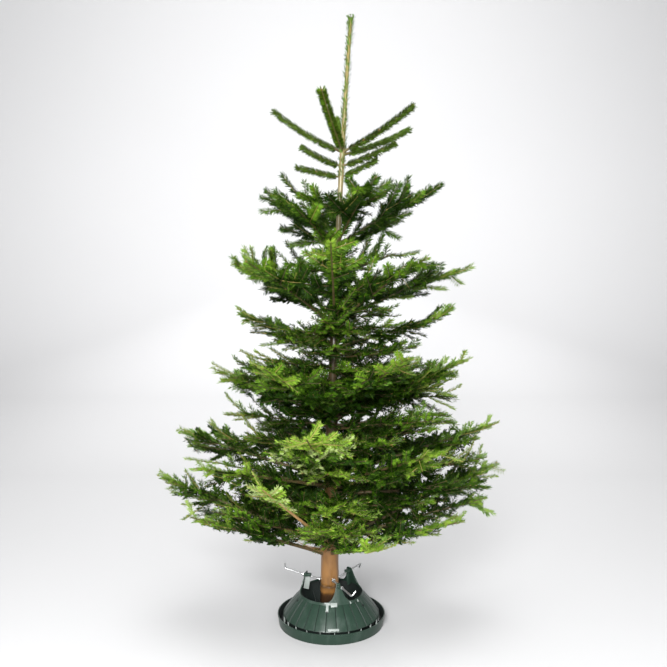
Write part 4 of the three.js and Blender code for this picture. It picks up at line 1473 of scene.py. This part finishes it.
# %% Well
WELL_PROFILE = [
    (0, 8), (67, 8), (108.7, 100), (110.7, 106), (109.2, 107.5), (107.2, 106), (104.7, 99),
    (99.7, 85), (98.7, 83), (64.5, 13), (62, 11.9), (0, 11.9)]
well_bm = spin_profile(WELL_PROFILE, 96)
SPIKES = 6
SPIKE_RING = 48
RIBS = 12
RIB_RING = 79
RIB_LEAN = math.atan2(31, 70)
for number in range(SPIKES):
    angle = math.radians(360 / SPIKES * number + 20)
    cone = bmesh.ops.create_cone(well_bm, cap_ends=True, segments=8, radius1=2.6, radius2=0.3,
                                 depth=0.2)
    place = Matrix.Translation((SPIKE_RING * math.cos(angle), SPIKE_RING * math.sin(angle), 12.0))
    bmesh.ops.transform(well_bm, matrix=place @ Matrix.Diagonal((1, 1, 40, 1)), verts=cone["verts"])
for number in range(RIBS):
    rib = bmesh.ops.create_cube(well_bm, size=1.0)["verts"]
    place = facing_out(360 / RIBS * number + 15, RIB_RING, 47, RIB_LEAN)
    bmesh.ops.transform(well_bm, matrix=place @ Matrix.Diagonal((4, 2.2, 66, 1)), verts=rib)
    soften(well_bm, edges_of(rib), 0.5, steps=1)
# Painted shade: the well takes the near-black plastic, partly its own colour and partly the shade inside
# it.
well = finish_bmesh(well_bm, "well", [dark_plastic_and_shade], ["stand_funnel"])
print("well:", len(well.data.polygons), "faces")

# %% [markdown]
# ## Tabs and clips
# Small moulded parts sit on the skin: stops between the funnel's foot and the tray, tabs and
# slots, and a clip at the front that locks the two mouldings. All are bevelled blocks, set on
# the skin by their angle round the stand and their height. Each ear has a web and a cap too.
# Some pale blocks are painted highlights: strips on the front of the lip and above the foot,
# and two ticks on the rim right of the front. The left ear's pale web is a painted reflection.
# The dark blocks are painted shade, put where the slots open.

# %% Block helper
def skin_radius(height):
    flat = SKIN_FOOT[0] + (SKIN_TOP[0] - SKIN_FOOT[0]) * skin_share(height)
    return flat * skin_bulge(height)


SKIN_LEAN = math.atan2(SKIN_FOOT[0] - SKIN_TOP[0], SKIN_TOP[1] - SKIN_FOOT[1])


def add_block(bm, azimuth, height, size, proud=0.0, material=0, radius=None, lean=-SKIN_LEAN):
    """A bevelled block: size is its thickness, its width and its length up the slope."""
    verts = bmesh.ops.create_cube(bm, size=1.0)["verts"]
    radius = skin_radius(height) + proud if radius is None else radius
    place = facing_out(azimuth, radius, height, lean)
    bmesh.ops.transform(bm, matrix=place @ Matrix.Diagonal((*size, 1)), verts=verts)
    for face in {face for vert in verts for face in vert.link_faces}:
        face.material_index = material
    soften(bm, edges_of(verts), min(size) * 0.22)


# %% Tabs, slots and clip
GREEN_PART, PALE_AND_HIGHLIGHT_PART, SLOT_SHADE_PART = range(3)
STOPS = 22
STOP_TURN = 4
details = bmesh.new()
for number in range(STOPS):
    add_block(details, 360 / STOPS * number - 90 + STOP_TURN, 20, (5, 1.4, 29),
              material=PALE_AND_HIGHLIGHT_PART, radius=167, lean=0.0)
# Painted highlights: the pale blocks at -85.2 and -87.3 degrees are highlights on the front of the lip
# and above the foot, and those at -55 and -38 degrees are highlights on the rim. Painted shade: the dark
# blocks stand for the shade in the clip's slot and in two open slots.
BLOCKS = [
    # azimuth, height, size, how proud of the skin, and which plastic
    (-96.8, 106.5, (4, 19, 5), 2.0, PALE_AND_HIGHLIGHT_PART), (-85.2, 102.5, (4, 22, 14), 0.6, PALE_AND_HIGHLIGHT_PART),
    (-96.2, 95, (4, 9, 28), 0.4, PALE_AND_HIGHLIGHT_PART), (-96.2, 85, (4.6, 5, 6), 0.9, SLOT_SHADE_PART),
    (-87.3, 41.5, (3, 37, 8), 0.6, PALE_AND_HIGHLIGHT_PART), (-33, 84, (1.8, 9, 9), 0.0, SLOT_SHADE_PART),
    (-160, 90, (1.8, 9, 9), 0.0, SLOT_SHADE_PART), (-55, 103, (5, 4, 9), 0.8, PALE_AND_HIGHLIGHT_PART),
    (-38, 101, (5, 4, 9), 0.8, PALE_AND_HIGHLIGHT_PART)]
for azimuth, height, size, proud, plastic in BLOCKS:
    add_block(details, azimuth, height, size, proud=proud, material=plastic)
for _, azimuth, half, *_ in EARS:
    # Painted reflection: the left ear's web is pale for the reflection on its inner face.
    web = PALE_AND_HIGHLIGHT_PART if azimuth > 90 else GREEN_PART
    add_block(details, azimuth, 126, (20, 3, 42), material=web, radius=90, lean=-0.15)
    add_block(details, azimuth, 156, (26, 1.2 * half, 10), radius=88, lean=0.0)
tabs = finish_bmesh(details, "tabs_and_clip", [green_plastic, pale_plastic_and_highlight, dark_plastic_and_shade],
                    ["stand_funnel"])
print("tabs and clip:", len(tabs.data.polygons), "faces")

# %% [markdown]
# ## Clamp screws
# Three zinc-plated screws pass through the ears and press on the trunk. Each ends outside in a
# rod turned into a handle. A circle is extruded along the screw's route, turned at each step to
# face along it, and the threaded stretch has its rings drawn in by turns.

# %% Zinc
def zinc_material():
    material, tree, shader = new_material("zinc")
    smears = add_node(tree, "TexNoise", {
        "Vector": object_place(tree), "Scale": 160.0, "Detail": 4.0}).outputs["Fac"]
    gloss = add_node(tree, "MapRange", {"Value": smears, "To Min": 0.2, "To Max": 0.42})
    feed(tree, shader, {
        "Base Color": ramp(tree, smears, [(0.3, (0.40, 0.41, 0.41)), (0.7, (0.74, 0.75, 0.75))]),
        "Roughness": gloss.outputs["Result"], "Metallic": 1.0})
    return material


zinc = zinc_material()
print("screws:", zinc.name)


# %% Screw helpers
SCREW_RADIUS = 3.4
ROD_RADIUS = 2.9
BEND = 7
SCREW_LIFT = 155.0
FOLD_HEIGHT = 113
EAR_INSET = 7
HANDLE_TURN = 22.0
PAD = 3.2
THREAD_STEP = 1.4
THREAD_DEPTH = 0.55
THREAD_END = 22
NUT = (7.5, 5, 5.5, 6)
PAD_RADIUS = 7


def sweep(bm, points, radii, sides):
    """Extrudes a circle through points, turning it to face along the way, and caps both ends."""
    made = bmesh.ops.create_circle(bm, cap_ends=True, segments=sides, radius=1.0)["verts"]
    ring = edges_of(made)
    flat = [vert.co.copy() for vert in made]
    order = {vert: number for number, vert in enumerate(made)}
    for step, (point, radius) in enumerate(zip(points, radii)):
        before, after = points[max(step - 1, 0)], points[min(step + 1, len(points) - 1)]
        turn = (after - before).to_track_quat("Z", "X").to_matrix()
        if step:
            verts, ring = extrude(bm, ring)
            order = {vert: next(order[edge.other_vert(vert)] for edge in vert.link_edges
                                if edge.other_vert(vert) in order) for vert in verts}
        for vert, number in order.items():
            vert.co = Vector(point) + turn @ (flat[number] * radius)
    bmesh.ops.contextual_create(bm, geom=ring)


def screw_route(azimuth, slope, handle_turn):
    """Points of a clamp screw from the trunk outwards, and the place of its ear."""
    out, side = map(Vector, level_ways(azimuth))
    hole = out * (SKIN_TOP[0] - EAR_INSET - EAR_LEAN * (SCREW_LIFT - FOLD_HEIGHT))
    hole.z = SCREW_LIFT
    axis = Vector(trunk_axis(SCREW_LIFT))
    outward = Vector((hole.x - axis.x, hole.y - axis.y, 0))
    reach = outward.length
    outward = (outward.normalized() + Vector((0, 0, slope))).normalized()
    start = float(trunk_radius(SCREW_LIFT)) + FOOT_SWELL - PAD / 2 - reach
    turn_way = side * math.sin(handle_turn) + Vector((0, 0, math.cos(handle_turn)))
    return hole, outward, start, turn_way


def build_screw(name, azimuth, slope, handle_reach, handle_turn):
    """A threaded stretch, a rod turned up into a handle, then the nut and the pad."""
    hole, outward, start, turn_way = screw_route(azimuth, slope, handle_turn)
    bm = bmesh.new()
    points, radii = [], []
    count = int((THREAD_END - start) / THREAD_STEP)
    for step in range(count + 1):
        points.append(hole + outward * (start + step * THREAD_STEP))
        radii.append(SCREW_RADIUS - (THREAD_DEPTH if step % 2 else 0.0))
    end = hole + outward * handle_reach
    points += [hole + outward * along for along in (24, 44, handle_reach - BEND)]
    for share in (step / 6 for step in range(1, 6)):
        points.append(end - outward * BEND * (1 - share) ** 2 + turn_way * BEND * share ** 2)
    points += [end + turn_way * along for along in (BEND, 14, HANDLE_TURN - 1.5, HANDLE_TURN)]
    radii += [ROD_RADIUS] * (len(points) - len(radii) - 1) + [ROD_RADIUS - 1]
    sweep(bm, points, radii, 12)
    facing = outward.to_track_quat("Z", "X").to_matrix().to_4x4()
    for along, length, radius, sides in (NUT, (start + 2, PAD, PAD_RADIUS, 20)):
        made = bmesh.ops.create_cone(bm, cap_ends=True, segments=sides, radius1=radius,
                                     radius2=radius, depth=length)["verts"]
        place = Matrix.Translation(hole + outward * (along + length / 2)) @ facing
        bmesh.ops.transform(bm, matrix=place, verts=made)
        soften(bm, edges_of(made), 0.7)
    return finish_bmesh(bm, f"screw_{name}", [zinc], [f"clamp_screw_{name}"])


for name, _, _, azimuth, slope, handle_reach, handle_turn in EARS:
    screw = build_screw(name, azimuth, slope, handle_reach, handle_turn)
    print(screw.name, len(screw.data.polygons), "faces")

# %% [markdown]
# ## Stage and light
# A pale floor runs up into a backdrop without an edge, and both grow paler with depth. That is
# painted light: the floor is darker near the tree and the cove paler, to even out how the lamps
# fall on them. A broad soft light stands by the camera, a little to the left and above, and a
# second hangs overhead.
# Weaker ones fill the floor at both sides and in front, two high ones behind lighten the
# shadow at the back, a small one puts a glint on the zinc, and one washes the wall. No lamp
# shows itself. The rest is the pale room.

# %% Stage
STAGE_HALF_WIDTH = 7
STAGE_FRONT = -5
WALL_RADIUS = 3.0
CURVE_FROM = 2.5
WALL_HEIGHT = 4
# Painted light: the floor is darker near the tree and the far floor and cove paler, to even out the
# lamps' light.
STAGE_TONES = [
    (0.0, (0.42, 0.42, 0.425)), (0.436, (0.50, 0.50, 0.505)), (0.727, (0.60, 0.60, 0.607)),
    (0.873, (0.79, 0.79, 0.80)), (1.0, (0.94, 0.94, 0.95))]


def build_stage():
    bm = bmesh.new()
    left = bm.verts.new((-STAGE_HALF_WIDTH, STAGE_FRONT, 0))
    right = bm.verts.new((STAGE_HALF_WIDTH, STAGE_FRONT, 0))
    rim, edges = extrude(bm, [bm.edges.new((left, right))])
    bmesh.ops.translate(bm, vec=(0, CURVE_FROM - STAGE_FRONT, 0), verts=rim)
    turned = bmesh.ops.spin(bm, geom=rim + edges, cent=(0, CURVE_FROM, WALL_RADIUS),
                            axis=(1, 0, 0), angle=math.radians(90), steps=24)["geom_last"]
    rim, edges = extrude(bm, [item for item in turned if isinstance(item, bmesh.types.BMEdge)])
    bmesh.ops.translate(bm, vec=(0, 0, WALL_HEIGHT), verts=rim)
    bmesh.ops.recalc_face_normals(bm, faces=bm.faces)
    for face in bm.faces:
        face.smooth = True
    material, tree, shader = new_material("backdrop")
    depth = add_node(tree, "SeparateXYZ", {0: object_place(tree)}).outputs["Y"]
    share = add_node(tree, "MapRange", {
        "Value": depth, "From Min": 0.0, "From Max": CURVE_FROM + WALL_RADIUS})
    feed(tree, shader, {
        "Base Color": ramp(tree, share.outputs["Result"], STAGE_TONES), "Roughness": 0.9})
    piece = place_bmesh(bm, "backdrop", [material])
    return piece


backdrop = build_stage()
print("backdrop:", len(backdrop.data.polygons), "faces")


# %% Light
LIGHTS = [
    # name, place, target, size and power
    ("key", (-0.45, -3.3, 1.95), (0, 0, 1.0), 1.3, 255),
    ("overhead", (0.2, -0.6, 4.2), (0, 0, 0.8), 2.4, 100),
    ("floor_fill", (-2.3, -0.9, 0.7), (0, 0.15, 0.05), 1.2, 9),
    ("rear", (-2.0, 3.2, 2.8), (0, 0.4, 0), 1.8, 42),
    ("floor_fill", (2.3, -0.9, 0.7), (0, 0.15, 0.05), 1.2, 9),
    ("rear", (2.0, 3.2, 2.8), (0, 0.4, 0), 1.8, 42),
    ("glint", (0.9, -2.8, 0.9), (0, 0, 0.25), 0.3, 13),
    ("front_fill", (0, -0.95, 0.6), (0, -0.3, 0), 0.6, 4),
    ("wall_wash", (0, 0.6, 6.4), (0, 5.2, 2.4), 5.0, 150)]
ROOM_LIGHT = 0.28

for name, place, target, size, power in LIGHTS:
    data = bpy.data.lights.new(name, "AREA")
    data.shape = "DISK"
    data.size = size
    data.energy = power
    lamp = bpy.data.objects.new(name, data)
    lamp.location = place
    lamp.rotation_euler = (Vector(target) - Vector(place)).to_track_quat("-Z", "Y").to_euler()
    lamp.visible_camera = False
    bpy.context.scene.collection.objects.link(lamp)
world = bpy.data.worlds.new("room")
bpy.context.scene.world = world
world.use_nodes = True
sky = world.node_tree.nodes["Background"]
sky.inputs["Color"].default_value = (1.0, 1.0, 1.0, 1)
sky.inputs["Strength"].default_value = ROOM_LIGHT
bpy.context.scene.view_settings.view_transform = "Standard"
print(len(LIGHTS), "lights and the room")
